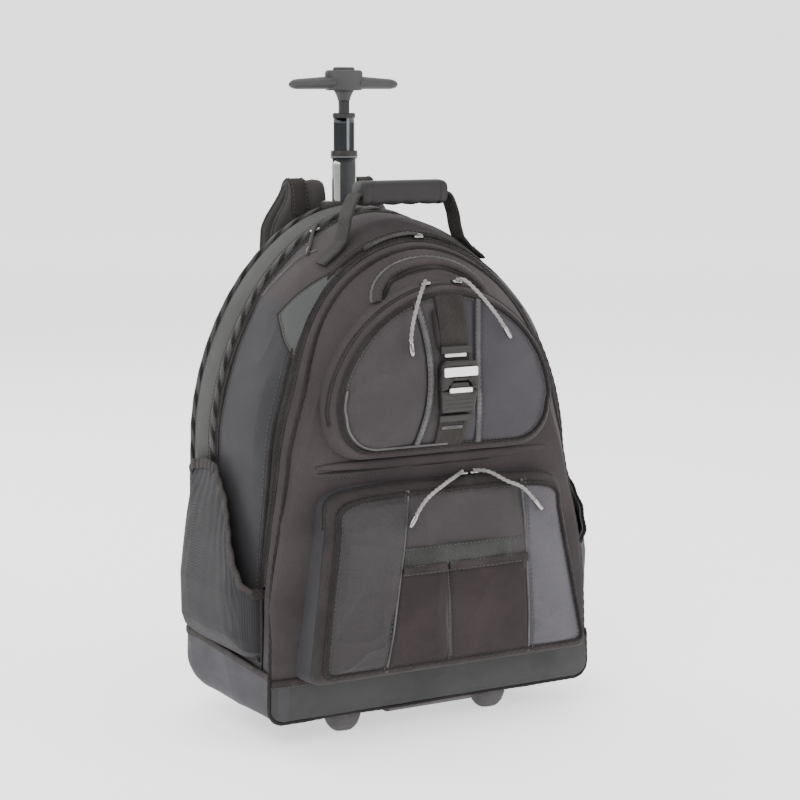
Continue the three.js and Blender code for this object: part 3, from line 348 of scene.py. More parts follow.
def copies(name, template, faces, centres, axes, material):
    """One small shape set at many places: each point is centre + x X + y Y + z Z of that place's axes."""
    p = centres[:, None] + np.einsum("vk,nkj->nvj", template, axes)
    offset = np.arange(len(centres))[:, None, None] * len(template)
    return mesh_object(name, p.reshape(-1, 3), (faces[None] + offset).reshape(-1, faces.shape[1]), [material])


def join(name, parts):
    """One object from several: its mesh holds them all."""
    bpy.ops.object.select_all(action="DESELECT")
    for part in parts:
        part.select_set(True)
    bpy.context.view_layer.objects.active = parts[0]
    bpy.ops.object.join()
    parts[0].name = name
    return parts[0]


CUBE = np.array([[x, y, z] for x in (-0.5, 0.5) for y in (-0.5, 0.5) for z in (-0.5, 0.5)], float)
CUBE_FACES = np.array([[0, 1, 3, 2], [4, 6, 7, 5], [0, 4, 5, 1], [2, 3, 7, 6], [0, 2, 6, 4], [1, 5, 7, 3]])


def stitches(name, path, up, pitch=0.0042, size=(0.0026, 0.0008, 0.0006), lift=0.0003):
    """A row of thread lumps along a path, one at each pitch."""
    count = max(int(length_of(path) / pitch), 2)
    line = resample(path, count)
    if np.ndim(up) == 2:
        up = resample(up, count)
    side, out = frames(line, up)
    axes = np.stack([tangents(line), side, out], 1)
    template = CUBE * np.array(size)
    return copies(name, template, CUBE_FACES, line + out * lift, axes, THREAD)


def zip_coil(name, path, up, pitch=0.0021, half=0.0017, height=0.0010):
    """Two rows of teeth on either side of a path that reach over its middle in turn."""
    count = int(length_of(path) / pitch)
    line = resample(path, count)
    side, out = frames(line, resample(up, count) if np.ndim(up) == 2 else up)
    axes = np.stack([tangents(line), side, out], 1)
    hand = np.where(np.arange(count) % 2, 1, -1)[:, None]
    template = CUBE * np.array([pitch * 0.62, half * 1.35, height])
    centres = line + side * hand * half * 0.36 + out * height * 0.45
    return copies(name, template, CUBE_FACES, centres, axes, COIL)


# Finishes


def linear(r, g, b):
    """sRGB from 0 to 255 as linear colour."""
    c = np.array([r, g, b]) / 255
    return (*np.where(c <= 0.04045, c / 12.92, ((c + 0.055) / 1.055) ** 2.4).tolist(), 1.0)


class Finish:
    """A material's node tree, with short calls for the nodes that this bag's finishes use."""

    def __init__(self, name, roughness, metallic=0.0, specular=0.4, sheen=0.0, coat=0.0):
        self.material = bpy.data.materials.new(name)
        self.material.use_nodes = True
        self.tree = self.material.node_tree
        self.shader = self.tree.nodes["Principled BSDF"]
        for socket, value in (
            ("Roughness", roughness),
            ("Metallic", metallic),
            ("Specular IOR Level", specular),
            ("Sheen Weight", sheen),
            ("Sheen Roughness", 0.45),
            ("Coat Weight", coat),
            ("Coat Roughness", 0.35),
        ):
            self.shader.inputs[socket].default_value = value

    def node(self, kind, **values):
        made = self.tree.nodes.new("ShaderNode" + kind)
        for key, value in values.items():
            if hasattr(made, key):
                setattr(made, key, value)
            else:
                made.inputs[key.replace("_", " ").title()].default_value = value
        return made

    def link(self, a, b):
        self.tree.links.new(a, b)

    def coords(self, cloth):
        source = self.node("TexCoord")
        return source.outputs["UV" if cloth else "Object"]

    def math(self, operation, a, b=None, c=None):
        made = self.node("Math", operation=operation)
        for socket, value in zip(made.inputs, (a, b, c)):
            if value is None:
                continue
            if isinstance(value, (int, float)):
                socket.default_value = value
            else:
                self.link(value, socket)
        return made.outputs[0]

    def noise(self, vector, scale, detail=3.0, roughness=0.55):
        made = self.node("TexNoise", scale=scale, detail=detail, roughness=roughness)
        self.link(vector, made.inputs["Vector"])
        return made.outputs["Fac"]

    def stretched(self, vector, by):
        made = self.node("Mapping")
        made.inputs["Scale"].default_value = by
        self.link(vector, made.inputs["Vector"])
        return made.outputs[0]

    def blend(self, factor, a, b):
        """Colour a where the factor is 0 and b where it is 1."""
        made = self.node("Mix", data_type="RGBA")
        self.link(factor, made.inputs[0])
        for socket, value in ((made.inputs[6], a), (made.inputs[7], b)):
            if isinstance(value, tuple):
                socket.default_value = value
            else:
                self.link(value, socket)
        return made.outputs[2]

    def between(self, value, start, end):
        """0 below start and 1 above end."""
        made = self.node("MapRange", interpolation_type="SMOOTHSTEP")
        made.inputs["From Min"].default_value = start
        made.inputs["From Max"].default_value = end
        self.link(value, made.inputs["Value"])
        return made.outputs[0]

    def base(self, colour):
        self.link(colour, self.shader.inputs["Base Color"])

    def rough(self, value):
        self.link(value, self.shader.inputs["Roughness"])

    def relief(self, height, distance, strength=1.0, under=None):
        made = self.node("Bump", distance=distance, strength=strength)
        self.link(height, made.inputs["Height"])
        if under is not None:
            self.link(under, made.inputs["Normal"])
        self.link(made.outputs[0], self.shader.inputs["Normal"])
        return made.outputs[0]


def shade(colour, by):
    """The colour times a factor, at most 1."""
    return (*[min(c * by, 1.0) for c in colour[:3]], 1.0)


def woven(name, colour, thread=0.0011, ripstop=0.0, roughness=0.86, sheen=0.05, contrast=0.22, slub=0.3):
    """Plain weave: height sin(u) sin(v) of the thread's width, with slubby threads and, if asked, a ripstop."""
    f = Finish(name, roughness, specular=0.2, sheen=sheen)
    uv = f.coords(True)
    where = f.coords(False)
    parts = f.node("SeparateXYZ")
    f.link(uv, parts.inputs[0])
    k = 2 * math.pi / (thread * 2)
    warp = f.math("SINE", f.math("MULTIPLY", parts.outputs[0], k))
    weft = f.math("SINE", f.math("MULTIPLY", parts.outputs[1], k))
    weave = f.math("MULTIPLY", warp, weft)
    threads = f.noise(f.stretched(uv, (900, 60, 1)), 1.0, 2.0)
    cross = f.noise(f.stretched(uv, (60, 900, 1)), 1.0, 2.0)
    mottle = f.math("MULTIPLY", f.math("ADD", threads, cross), 0.5)
    cloudy = f.noise(where, 14.0, 4.0)
    tone = f.math("ADD", f.math("MULTIPLY", mottle, slub), f.math("MULTIPLY", cloudy, 1 - slub))
    dark, light = shade(colour, 1 - contrast), shade(colour, 1 + contrast)
    tint = f.blend(f.between(tone, 0.36, 0.64), dark, light)
    height = f.math("ADD", f.math("MULTIPLY", weave, 0.5), f.math("MULTIPLY", mottle, 0.8))
    if ripstop:
        line_u = f.math("PINGPONG", parts.outputs[0], ripstop / 2)
        line_v = f.math("PINGPONG", parts.outputs[1], ripstop / 2)
        thin = f.math("MINIMUM", line_u, line_v)
        ridge = f.math("SUBTRACT", 1.0, f.between(thin, 0.0, ripstop * 0.09))
        tint = f.blend(f.math("MULTIPLY", ridge, 0.3), tint, shade(colour, 1.4))
        height = f.math("ADD", height, f.math("MULTIPLY", ridge, 1.4))
    f.base(tint)
    f.rough(f.math("ADD", f.math("MULTIPLY", cloudy, 0.16), roughness - 0.08))
    f.relief(height, 0.00022, 0.8)
    return f.material


def spacer_mesh(name, colour, cell=0.0032, hole=0.5):
    """Knitted mesh: a staggered field of round holes, sin(u) sin(v) sunk where it is high, and darkened there with
    painted shade.
    """
    f = Finish(name, 0.86, specular=0.2, sheen=0.06)
    parts = f.node("SeparateXYZ")
    f.link(f.coords(True), parts.inputs[0])
    k = 2 * math.pi / cell
    diagonal = f.math("ADD", parts.outputs[0], parts.outputs[1])
    other = f.math("SUBTRACT", parts.outputs[0], parts.outputs[1])
    holes = f.math("MULTIPLY", f.math("SINE", f.math("MULTIPLY", diagonal, k / 1.4)),
                   f.math("SINE", f.math("MULTIPLY", other, k / 1.4)))
    depth = f.between(holes, 0.1, hole + 0.3)
    cloudy = f.noise(f.coords(False), 18.0, 4.0)
    tint = f.blend(f.between(cloudy, 0.35, 0.65), shade(colour, 0.85), shade(colour, 1.15))
    # The holes are darkened to 0.3 of the colour: painted shade in them.
    f.base(f.blend(f.math("MULTIPLY", depth, 0.75), tint, shade(colour, 0.3)))
    f.relief(f.math("SUBTRACT", 1.0, depth), 0.0006, 0.9)
    return f.material


def webbing_finish(name, colour, rib=0.0017, roughness=0.7):
    """Ribbed tape: ridges that run along it, broken by a herringbone of fine threads."""
    f = Finish(name, roughness, specular=0.16, sheen=0.04)
    parts = f.node("SeparateXYZ")
    f.link(f.coords(True), parts.inputs[0])
    k = 2 * math.pi / rib
    slanted = f.math("ADD", parts.outputs[0], f.math("MULTIPLY", parts.outputs[1], 0.6))
    ribs = f.math("SINE", f.math("MULTIPLY", slanted, k))
    columns = f.math("SINE", f.math("MULTIPLY", parts.outputs[1], k * 0.7))
    cloudy = f.noise(f.coords(False), 40.0, 3.0)
    f.base(f.blend(f.between(cloudy, 0.3, 0.7), shade(colour, 0.8), shade(colour, 1.25)))
    f.relief(f.math("ADD", f.math("MULTIPLY", ribs, 0.6), columns), 0.0003, 0.9)
    return f.material


def coated_finish(name, colour, roughness=0.62):
    """Rubber-coated cloth: a fine leathery grain with rubbed, paler high spots."""
    f = Finish(name, roughness, specular=0.16)
    where = f.coords(False)
    grain = f.node("TexVoronoi", feature="SMOOTH_F1", scale=620.0)
    f.link(where, grain.inputs["Vector"])
    cells = grain.outputs["Distance"]
    cloudy = f.noise(where, 16.0, 5.0)
    scuffs = f.noise(f.stretched(where, (30, 30, 140)), 1.0, 6.0, 0.7)
    tint = f.blend(f.between(cloudy, 0.35, 0.65), shade(colour, 0.86), shade(colour, 1.14))
    f.base(f.blend(f.math("MULTIPLY", f.between(scuffs, 0.62, 0.75), 0.2), tint, shade(colour, 1.5)))
    f.rough(f.math("ADD", f.math("MULTIPLY", scuffs, 0.3), roughness - 0.12))
    f.relief(cells, 0.0004, 0.5)
    return f.material


def moulded(name, colour, roughness=0.5, grain=900.0, coat=0.0, specular=0.26):
    """Moulded plastic or rubber: a spark-eroded grain, and faint rubbing that changes the gloss."""
    f = Finish(name, roughness, specular=specular, coat=coat)
    where = f.coords(False)
    speck = f.noise(where, grain, 2.0)
    rub = f.noise(where, 28.0, 5.0, 0.65)
    f.base(f.blend(f.between(rub, 0.35, 0.7), shade(colour, 0.9), shade(colour, 1.16)))
    f.rough(f.math("ADD", f.math("MULTIPLY", rub, 0.22), roughness - 0.1))
    f.relief(speck, 0.00012, 0.5)
    return f.material


def drawn_metal(name, colour, roughness=0.3, lines=(900, 900, 6)):
    """Drawn tube: fine lines along its length in the gloss and the relief."""
    f = Finish(name, roughness, metallic=1.0, specular=0.5)
    where = f.coords(False)
    brushed = f.noise(f.stretched(where, lines), 1.0, 3.0)
    marks = f.noise(where, 60.0, 5.0, 0.7)
    f.base(f.blend(f.between(brushed, 0.3, 0.7), shade(colour, 0.9), shade(colour, 1.08)))
    f.rough(f.math("ADD", f.math("MULTIPLY", brushed, 0.16), f.math("MULTIPLY", marks, 0.14)))
    f.relief(brushed, 0.00005, 0.5)
    return f.material


SIDE_CLOTH = woven("side cloth", linear(54, 53, 56), contrast=0.14)
REAR_CLOTH = woven("rear band cloth", linear(67, 67, 66), contrast=0.14)
DARK_CLOTH = woven("dark cloth", linear(59, 53, 54), contrast=0.16)
PATCH_CLOTH = woven("patch cloth", linear(70, 72, 71), contrast=0.1)
DOME_CLOTH = woven("dome cloth", linear(61, 57, 58), contrast=0.14)
DOME_SIDE_CLOTH = woven("dome side cloth", linear(61, 58, 63), contrast=0.12)
RIPSTOP = woven("ripstop", linear(53, 51, 52), ripstop=0.006, roughness=0.74, contrast=0.16)
# A darker copy of the ripstop: painted shade for the triangle low on the lower pocket's left panel.
RIPSTOP_IN_PAINTED_SHADE = woven("ripstop in painted shade", linear(52, 49, 50), ripstop=0.006, roughness=0.75, contrast=0.14)
LIGHT_RIPSTOP = woven("light ripstop", linear(79, 77, 82), ripstop=0.006, roughness=0.72, contrast=0.12)
SLIP_CLOTH = woven("slip pocket cloth", linear(46, 39, 40), contrast=0.2)
POCKET_MESH = spacer_mesh("side pocket mesh", linear(52, 51, 53))
LIGHT_MESH = spacer_mesh("right side pocket mesh", linear(86, 86, 89))
PAD_MESH = spacer_mesh("back pad mesh", linear(60, 60, 62), cell=0.0045)
HARNESS_CLOTH = woven("harness cloth", linear(64, 61, 60), contrast=0.16)
BASE_CLOTH = coated_finish("base cloth", linear(58, 59, 58))
BASE_SIDE_CLOTH = coated_finish("base side cloth", linear(64, 63, 67))
BLACK_WEBBING = webbing_finish("black webbing", linear(45, 42, 40))
GREY_WEBBING = webbing_finish("grey webbing", linear(57, 58, 56))
BINDING = webbing_finish("edge binding", linear(52, 46, 46), rib=0.0011)
LIGHT_BINDING = webbing_finish("light binding", linear(94, 92, 93), rib=0.0011)
DARK_ROPE = webbing_finish("dark piping", linear(40, 35, 35), rib=0.0012)
GREY_ROPE = webbing_finish("grey piping", linear(76, 76, 75), rib=0.0012)
THREAD = moulded("thread", linear(70, 69, 68), roughness=0.75)
COIL = moulded("zip coil", linear(36, 33, 33), roughness=0.42)
PLASTIC = moulded("buckle plastic", linear(42, 40, 39), roughness=0.4)
HANDLE_RUBBER = moulded("handle rubber", linear(38, 36, 36), roughness=0.55, grain=600.0)
TEE_PLASTIC = moulded("grip plastic", linear(60, 60, 60), roughness=0.5, grain=700.0)
BUTTON_PLASTIC = moulded("button plastic", linear(58, 58, 58), roughness=0.42)
RUBBER = moulded("rubber", linear(80, 78, 78), roughness=0.72, grain=500.0)
WHEEL_PLASTIC = moulded("wheel plastic", linear(84, 84, 86), roughness=0.45)
BRIGHT_TUBE = drawn_metal("bright tube", linear(172, 172, 170), roughness=0.25)
DARK_TUBE = drawn_metal("dark tube", linear(62, 64, 66), roughness=0.32)
# Painted dark reflection: the dark band down the middle of the lower tube's front, between its bright edges.
PAINTED_DARK_REFLECTION = moulded("painted dark reflection", linear(47, 49, 50), roughness=0.42)
# Pale grey: the collar's thin ring, and a painted highlight down the middle of the middle tube's front.
PALE_RING_AND_PAINTED_HIGHLIGHT = moulded("pale ring and painted highlight", linear(112, 115, 117), roughness=0.4)
PULL_CORD = webbing_finish("pull cord", linear(140, 137, 136), rib=0.0016)
SHADED_CORD = webbing_finish("shaded pull cord", linear(70, 67, 66), rib=0.0016)
PULL_METAL = drawn_metal("pull metal", linear(150, 148, 146), roughness=0.35, lines=(300, 300, 300))
WHITE_BAR = moulded("light bar", linear(232, 226, 224), roughness=0.42)
PLATE = moulded("plain plate", linear(244, 246, 247), roughness=0.3)


# Body


def arch(half, spring_half, foot, spring, rise, power, corner, count):
    """An arch in XZ, evenly spaced: flat foot, quarter-round corners, straight sides, and above the spring line the
    superellipse x = half cos^(2/p), z = spring + rise sin^(2/p). It starts at the foot's middle and goes up +X."""
    a = np.linspace(0, np.pi / 2, 500)
    foot_x = np.linspace(0, half - corner, 40)[:-1]
    right = np.concatenate([
        np.stack([foot_x, np.full_like(foot_x, foot)], 1),
        np.stack([half - corner + corner * np.sin(a), foot + corner - corner * np.cos(a)], 1),
        np.linspace([half, foot + corner], [spring_half, spring], 80)[1:-1],
        np.stack([spring_half * np.cos(a) ** (2 / power), spring + rise * np.sin(a) ** (2 / power)], 1),
    ])
    return resample(np.concatenate([right, right[-2:0:-1] * [-1, 1]]), count, closed=True)


BODY_STEPS = 470
OUTLINE = arch(BODY_HALF, SPRING_HALF, FOOT, SPRING, RISE, ARCH_POWER, BODY_CORNER, BODY_STEPS)
TOP_INDEX = int(np.argmax(OUTLINE[:, 1]))
STEP_LENGTH = np.linalg.norm(np.diff(OUTLINE, axis=0), axis=1).mean()
# Length along the outline from the top's middle, positive towards +X
OVER = (TOP_INDEX - np.arange(BODY_STEPS)) * STEP_LENGTH


def body_shape(xz, y):
    """Where outline points lie at a depth: the back edge and heel are rounded, the front is bevelled.

    x' = x (1 - (back inset + side inset) / half), z' = z + heel lift - (fall + back inset + top inset) above.
    """
    x, z = xz[..., 0], xz[..., 1]
    from_back = np.maximum(BACK - y, 0)
    from_front = np.maximum(y - FRONT, 0)
    above = clamp((z - SPRING) / RISE)
    taper = smooth((z - TAPER_START) / (TAPER_END - TAPER_START))
    back_inset = round_over(from_back, BACK_EDGE)
    side_inset = SIDE_TAPER * clamp(1 - from_front / SIDE_BEVEL) ** BEVEL_POWER * taper
    top_inset = TOP_TAPER * clamp(1 - from_front / TOP_BEVEL) ** BEVEL_POWER
    lift = round_over(from_back, HEEL) * clamp(1 - (z - FOOT) / HEEL_REACH) ** 2
    drop = TOP_FALL * from_back / BODY_DEPTH + back_inset + top_inset
    narrowed = x * (1 - (back_inset + side_inset) / BODY_HALF)
    return np.stack([narrowed, np.broadcast_to(y, x.shape), z + lift - drop * above], -1)


def body_grid(xz, y):
    """Every outline point at every depth."""
    return body_shape(xz[:, None, :] + np.zeros((1, len(y), 1)), np.asarray(y)[None, :] + np.zeros((len(xz), 1)))


def outline_at(over):
    """Outline points at lengths from the top's middle."""
    order = np.argsort(OVER)
    return np.stack([np.interp(over, OVER[order], OUTLINE[order, k]) for k in (0, 1)], -1)


def on_body(over, y, lift=0.0):
    """Points and outward directions on the body at lengths over the top and depths."""
    over, y = np.broadcast_arrays(np.asarray(over, float), np.asarray(y, float))
    e = 0.0008
    here = body_shape(outline_at(over), y)
    along = body_shape(outline_at(over + e), y) - body_shape(outline_at(over - e), y)
    deep = body_shape(outline_at(over), y + e) - body_shape(outline_at(over), y - e)
    n = unit(np.cross(deep, along))
    middle = np.array([0, (BACK + FRONT) / 2, 0.26])
    n = np.where(((here - middle) * n).sum(-1, keepdims=True) < 0, -n, n)
    return here + n * lift, n


def front_zip_y(z):
    """The front zip leans back over the top of the body, with 3t^2 - 2t^3 of the height."""
    return FRONT_ZIP + FRONT_ZIP_LEAN * smooth((z - ZIP_LEAN_START) / (SPRING + RISE - ZIP_LEAN_START))


def over_at_height(z):
    """Length over the top at which the right side of the outline reaches a height."""
    right = (OVER > 0) & (OUTLINE[:, 1] > FOOT + BODY_CORNER)
    order = np.argsort(OUTLINE[right, 1])
    return np.interp(z, OUTLINE[right, 1][order], OVER[right][order])


INSIDE = np.array([0, (BACK + FRONT) / 2, 0.24])


def puffed(points, amount, across):
    """Pushes a panel out between its sewn edges: amount sin(pi t)^0.6 across it, with slack and creases."""
    n = grid_normals(points)
    t = np.linspace(0, 1, points.shape[1]) if across == 1 else np.linspace(0, 1, points.shape[0])[:, None]
    crown = np.sin(np.pi * clamp(t)) ** 0.6
    swell = amount * crown * (0.75 + 0.25 * value_noise(points, 0.07, 3))
    slack = 0.0011 * value_noise(points, 0.045, 5) + 0.0013 * creases(points, 0.06, (1, 1, 0.5), 7) * crown
    return points + n * (swell + slack)[..., None]


def rear_shell():
    """The band behind the rear zip, the rounded edge, and the flat back, closed at the middle of the back."""
    y = np.concatenate([np.linspace(REAR_ZIP + ZIP_HALF + FIT, BACK - BACK_EDGE, 44)[:-1],
                        BACK - BACK_EDGE * np.cos(np.linspace(0, np.pi / 2, 16))])
    rings = body_grid(OUTLINE, y)
    band = (y - y[0]) / (BACK - BACK_EDGE - y[0])
    crown = np.sin(np.pi * clamp(band)) ** 0.6
    n = grid_normals(rings)
    slack = 0.0009 * value_noise(rings, 0.05, 21) + 0.001 * creases(rings, 0.05, (1, 1, 0.6), 23)
    tight = clamp((BACK - y) / 0.02) * smooth((rings[..., 2] - TRAY_SIDE) / 0.03)
    rings = rings + n * (((0.0028 * crown + slack * np.minimum(crown + 0.2, 1)) * tight)[..., None])
    centre = rings[:, -1].mean(0)
    share = np.linspace(1, 0, 26)[1:]
    cap = centre + (rings[:, -1:] - centre) * share[None, :, None]
    every = np.concatenate([rings, cap], 1)
    return grid("rear_shell_cloth", every, [REAR_CLOTH], around=True, inner=INSIDE, wall=CLOTH_WALL)


def yoke_edge(y):
    """Length over the top at which the dark yoke ends, as a function of depth: short in front, long behind."""
    front = front_zip_y(0.434)
    return np.interp(y, [front, front + 0.027, REAR_ZIP], [0.083, 0.152, 0.148])


GUSSET = {}


def on_gusset(over, y, lift=0.0):
    """Points and outward directions on the puffed side band, read between its grid's points."""
    over, y = np.broadcast_arrays(np.asarray(over, float), np.asarray(y, float))
    start = REAR_ZIP - ZIP_HALF - FIT
    end = front_zip_y(outline_at(over)[..., 1]) + ZIP_HALF + FIT
    rings, normals = GUSSET["rings"], GUSSET["normals"]
    row = (TOP_INDEX - over / STEP_LENGTH) % BODY_STEPS
    col = clamp((y - start) / (end - start)) * (rings.shape[1] - 1)
    i, j = row.astype(int), np.minimum(col.astype(int), rings.shape[1] - 2)
    f, g = (row - i)[..., None], (col - j)[..., None]
    k = (i + 1) % BODY_STEPS

    def read(values):
        return mix(mix(values[i, j], values[k, j], f), mix(values[i, j + 1], values[k, j + 1], f), g)

    n = unit(read(normals))
    return read(rings) + n * np.asarray(lift)[..., None], n


def main_gusset():
    """The band between the zips, with the dark yoke over its top."""
    t = np.linspace(0, 1, 72)
    front = front_zip_y(OUTLINE[:, 1])[:, None] + ZIP_HALF + FIT
    y = mix(REAR_ZIP - ZIP_HALF - FIT, front, t[None])
    flat = body_shape(OUTLINE[:, None, :] + np.zeros((1, len(t), 1)), y)
    rings = mix(flat, puffed(flat, 0.0036, 1), smooth((flat[..., 2:] - TRAY_SIDE) / 0.035))
    GUSSET["rings"], GUSSET["normals"] = rings, grid_normals(rings)
    dark = (np.abs(OVER)[:, None] < yoke_edge(y)).astype(int)
    return grid("main_gusset_cloth", rings, [SIDE_CLOTH, DARK_CLOTH], around=True, region=dark, inner=INSIDE,
                wall=CLOTH_WALL)


def front_shell():
    """The bevelled edge in front of the front zip, and the crowned face."""
    t = np.linspace(0, 1, 30)
    start = front_zip_y(OUTLINE[:, 1])[:, None] - ZIP_HALF - FIT
    y = mix(start, FRONT, 1 - (1 - t[None]) ** 1.3)
    rings = body_shape(OUTLINE[:, None, :] + np.zeros((1, len(t), 1)), y)
    last = rings[:, -1]
    centre = last.mean(0)
    share = np.linspace(1, 0, 53)[1:]
    face = centre + (last[:, None] - centre) * share[None, :, None]
    face[..., 1] -= FRONT_CROWN * (1 - share[None] ** 2)
    every = np.concatenate([rings, face], 1)
    n = grid_normals(every)
    slack = 0.0012 * value_noise(every, 0.05, 31) + 0.0012 * creases(every, 0.06, (0.7, 1, 1), 33)
    hold = np.concatenate([np.sin(np.pi * clamp(t * 0.55)) ** 0.5, clamp(share * 3)])
    every = every + n * (slack * hold[None] + 0.001 * hold[None])[..., None]
    return grid("front_shell_cloth", every, [DARK_CLOTH], around=True, inner=INSIDE, wall=CLOTH_WALL)


def front_face(x, z):
    """Depth of the body's front at places of the XZ plane: the first depth at which a place is inside it."""
    x, z = np.broadcast_arrays(np.asarray(x, float), np.asarray(z, float))
    depths = np.linspace(0, 0.09, 181)
    result = np.full(x.shape, FRONT + 0.09)
    found = np.zeros(x.shape, bool)
    up = OUTLINE[: TOP_INDEX + 1]
    order = np.argsort(up[:, 1], kind="stable")
    for d in depths:
        y = FRONT + d
        raw = z.copy()
        for _ in range(6):
            above = clamp((raw - SPRING) / RISE)
            top = TOP_TAPER * clamp(1 - d / TOP_BEVEL) ** BEVEL_POWER
            raw = z + (TOP_FALL * (BACK - y) / BODY_DEPTH + top) * above
        taper = smooth((raw - TAPER_START) / (TAPER_END - TAPER_START))
        side = SIDE_TAPER * clamp(1 - d / SIDE_BEVEL) ** BEVEL_POWER * taper
        half = np.interp(raw, up[order, 1], up[order, 0], right=0.0) * (1 - side / BODY_HALF)
        inside = (np.abs(x) < half) & (raw < SPRING + RISE) & ~found
        result = np.where(inside, y, result)
        found |= inside
    middle = body_shape(OUTLINE, np.full(BODY_STEPS, FRONT)).mean(0)
    last = body_shape(OUTLINE, np.full(BODY_STEPS, FRONT))
    angle = np.arctan2(last[:, 2] - middle[2], last[:, 0])
    reach = np.hypot(last[:, 0], last[:, 2] - middle[2])
    order = np.argsort(angle)
    there = np.interp(np.arctan2(z - middle[2], x), angle[order], reach[order], period=2 * np.pi)
    share = clamp(np.hypot(x, z - middle[2]) / there)
    return np.where(result <= FRONT + 1e-6, FRONT - FRONT_CROWN * (1 - share**2), result)


def zip_over_body(name, y_of, end):
    """Tape and coil along a line over the body."""
    half = over_at_height(end + 0.002)
    over = np.linspace(-half, half, 700)
    z = outline_at(over)[:, 1]
    y = y_of(z)
    path, out = on_body(over, y)
    section = oval(ZIP_HALF + 0.0016, 0.0011, 0.6, 12)
    tape = sweep(name + "_tape", path + out * 0.0002, out, section, [BINDING])
    coil = zip_coil(name + "_coil", path + out * 0.0011, out)
    return join(name, [tape, coil])


def piping_over_body(name, y_of, end, radius, finish, lift=0.0006, pitch=0.009, depth=0.18, second=None):
    """A twisted cord over the body at the depth y_of(height), down to the height end on both sides."""
    half = over_at_height(end)
    over = np.linspace(-half, half, 900)
    y = y_of(outline_at(over)[:, 1])
    path, out = on_body(over, y)
    return rope(name, path + out * lift, out, radius, finish, pitch=pitch, depth=depth, second=second, sides=18)


def body_patch(name, corners, finish, lift, steps=60, thickness=0.0008):
    """A sewn patch: a bilinear sheet between four corners given as length over the top and depth."""
    a, b, c, d = [np.array(v, float) for v in corners]
    s, t = np.meshgrid(np.linspace(0, 1, steps), np.linspace(0, 1, steps), indexing="ij")
    s, t = s[..., None], t[..., None]
    place = a * (1 - s) * (1 - t) + b * s * (1 - t) + c * s * t + d * (1 - s) * t
    points, out = on_gusset(place[..., 0], place[..., 1])
    rim = np.minimum.reduce([s[..., 0], 1 - s[..., 0], t[..., 0], 1 - t[..., 0]])
    puff = lift + 0.0016 * smooth(rim * 5)
    points = points + out * puff[..., None]
    sheet = grid(name + "_sheet", points, [finish], inner=INSIDE, wall=thickness)
    edge = np.concatenate([points[:, 0], points[-1, 1:], points[-2::-1, -1], points[0, -2:0:-1]])
    ups = np.concatenate([out[:, 0], out[-1, 1:], out[-2::-1, -1], out[0, -2:0:-1]])
    edge = np.vstack([edge, edge[:1]])
    ups = np.vstack([ups, ups[:1]])
    middle = points.reshape(-1, 3).mean(0)
    inner_edge = edge + unit(middle - edge) * 0.0035
    seam = stitches(name + "_stitches", inner_edge, ups, lift=0.0012)
    bound = cord(name + "_edge", resample(edge, 220), resample(ups, 220), 0.0011, BINDING, 8)
    return [sheet, seam, bound]


def body_piece(*pieces, body="bag", slot="cloth_dark", nodes=()):
    """Every piece given rides on the body, the CAD nodes are hidden, and the first piece is returned."""
    for piece in pieces:
        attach(piece, body)
    if nodes:
        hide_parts(*nodes)
    return pieces[0]


# Front pockets


class Pocket:
    """A pocket on the front. Its outline is drawn in by the rounded rim, leans forward at its foot, and the face is
    crowned: y = rim - crown (1 - share^2), where share runs from 0 in the middle to 1 at the rim."""

    def __init__(self, outline, half, foot, top, rim, edge, crown, lean=0.0):
        self.outline, self.half, self.foot, self.top = outline, half, foot, top
        self.rim, self.edge, self.crown, self.lean = rim, edge, crown, lean
        self.root = FRONT + SIDE_BEVEL
        last = self.rings(np.array([rim]))[:, 0]
        self.middle = last.mean(0)
        away = last - self.middle
        angle = np.arctan2(away[:, 2], away[:, 0])
        order = np.argsort(angle)
        self.angle, self.reach, self.ring_y = angle[order], np.hypot(away[:, 0], away[:, 2])[order], last[order, 1]

    def rings(self, y):
        """Outline points at depths: (x, z) times 1 - inset / half size, and y less the forward lean."""
        inset = round_over(y - self.rim, self.edge)[None, :]
        xz = self.outline[:, None, :]
        middle = (self.foot + self.top) / 2
        x = xz[..., 0] * (1 - inset / self.half)
        z = middle + (xz[..., 1] - middle) * (1 - inset / (middle - self.foot))
        reach = clamp((y - self.root) / (self.rim - self.root))[None, :]
        forward = self.lean * reach * (1 - (z - self.foot) / (self.top - self.foot))
        return np.stack([x, y[None, :] - forward, z], -1)

    def face(self, share):
        """The rim's ring drawn in to each share, and brought forward by crown (1 - share^2)."""
        last = self.rings(np.array([self.rim]))
        points = self.middle + (last - self.middle) * share[None, :, None]
        points[..., 1] -= self.crown * (1 - share[None, :] ** 2)
        return points

    def depth(self, x, z):
        """Depth of the face at a place of the XZ plane."""
        turn = np.arctan2(z - self.middle[2], x)
        reach = np.interp(turn, self.angle, self.reach, period=2 * np.pi)
        rim = np.interp(turn, self.angle, self.ring_y, period=2 * np.pi)
        share = clamp(np.hypot(x, z - self.middle[2]) / reach)
        return self.middle[1] + (rim - self.middle[1]) * share - self.crown * (1 - share**2)

    def on_face(self, x, z, lift=0.0):
        """Points on the face at places of the XZ plane, and the directions out of it."""
        return lifted(self.depth, x, z, lift)


def lifted(depth, x, z, lift=0.0):
    """Points on a front surface and the directions out of it, from its depth as a function of x and z."""
    x, z = np.broadcast_arrays(np.asarray(x, float), np.asarray(z, float))
    e = 0.0015
    slope_x = (depth(x + e, z) - depth(x - e, z)) / (2 * e)
    slope_z = (depth(x, z + e) - depth(x, z - e)) / (2 * e)
    n = unit(np.stack([slope_x, -np.ones_like(x), slope_z], -1))
    return np.stack([x, depth(x, z), z], -1) + n * np.asarray(lift)[..., None], n


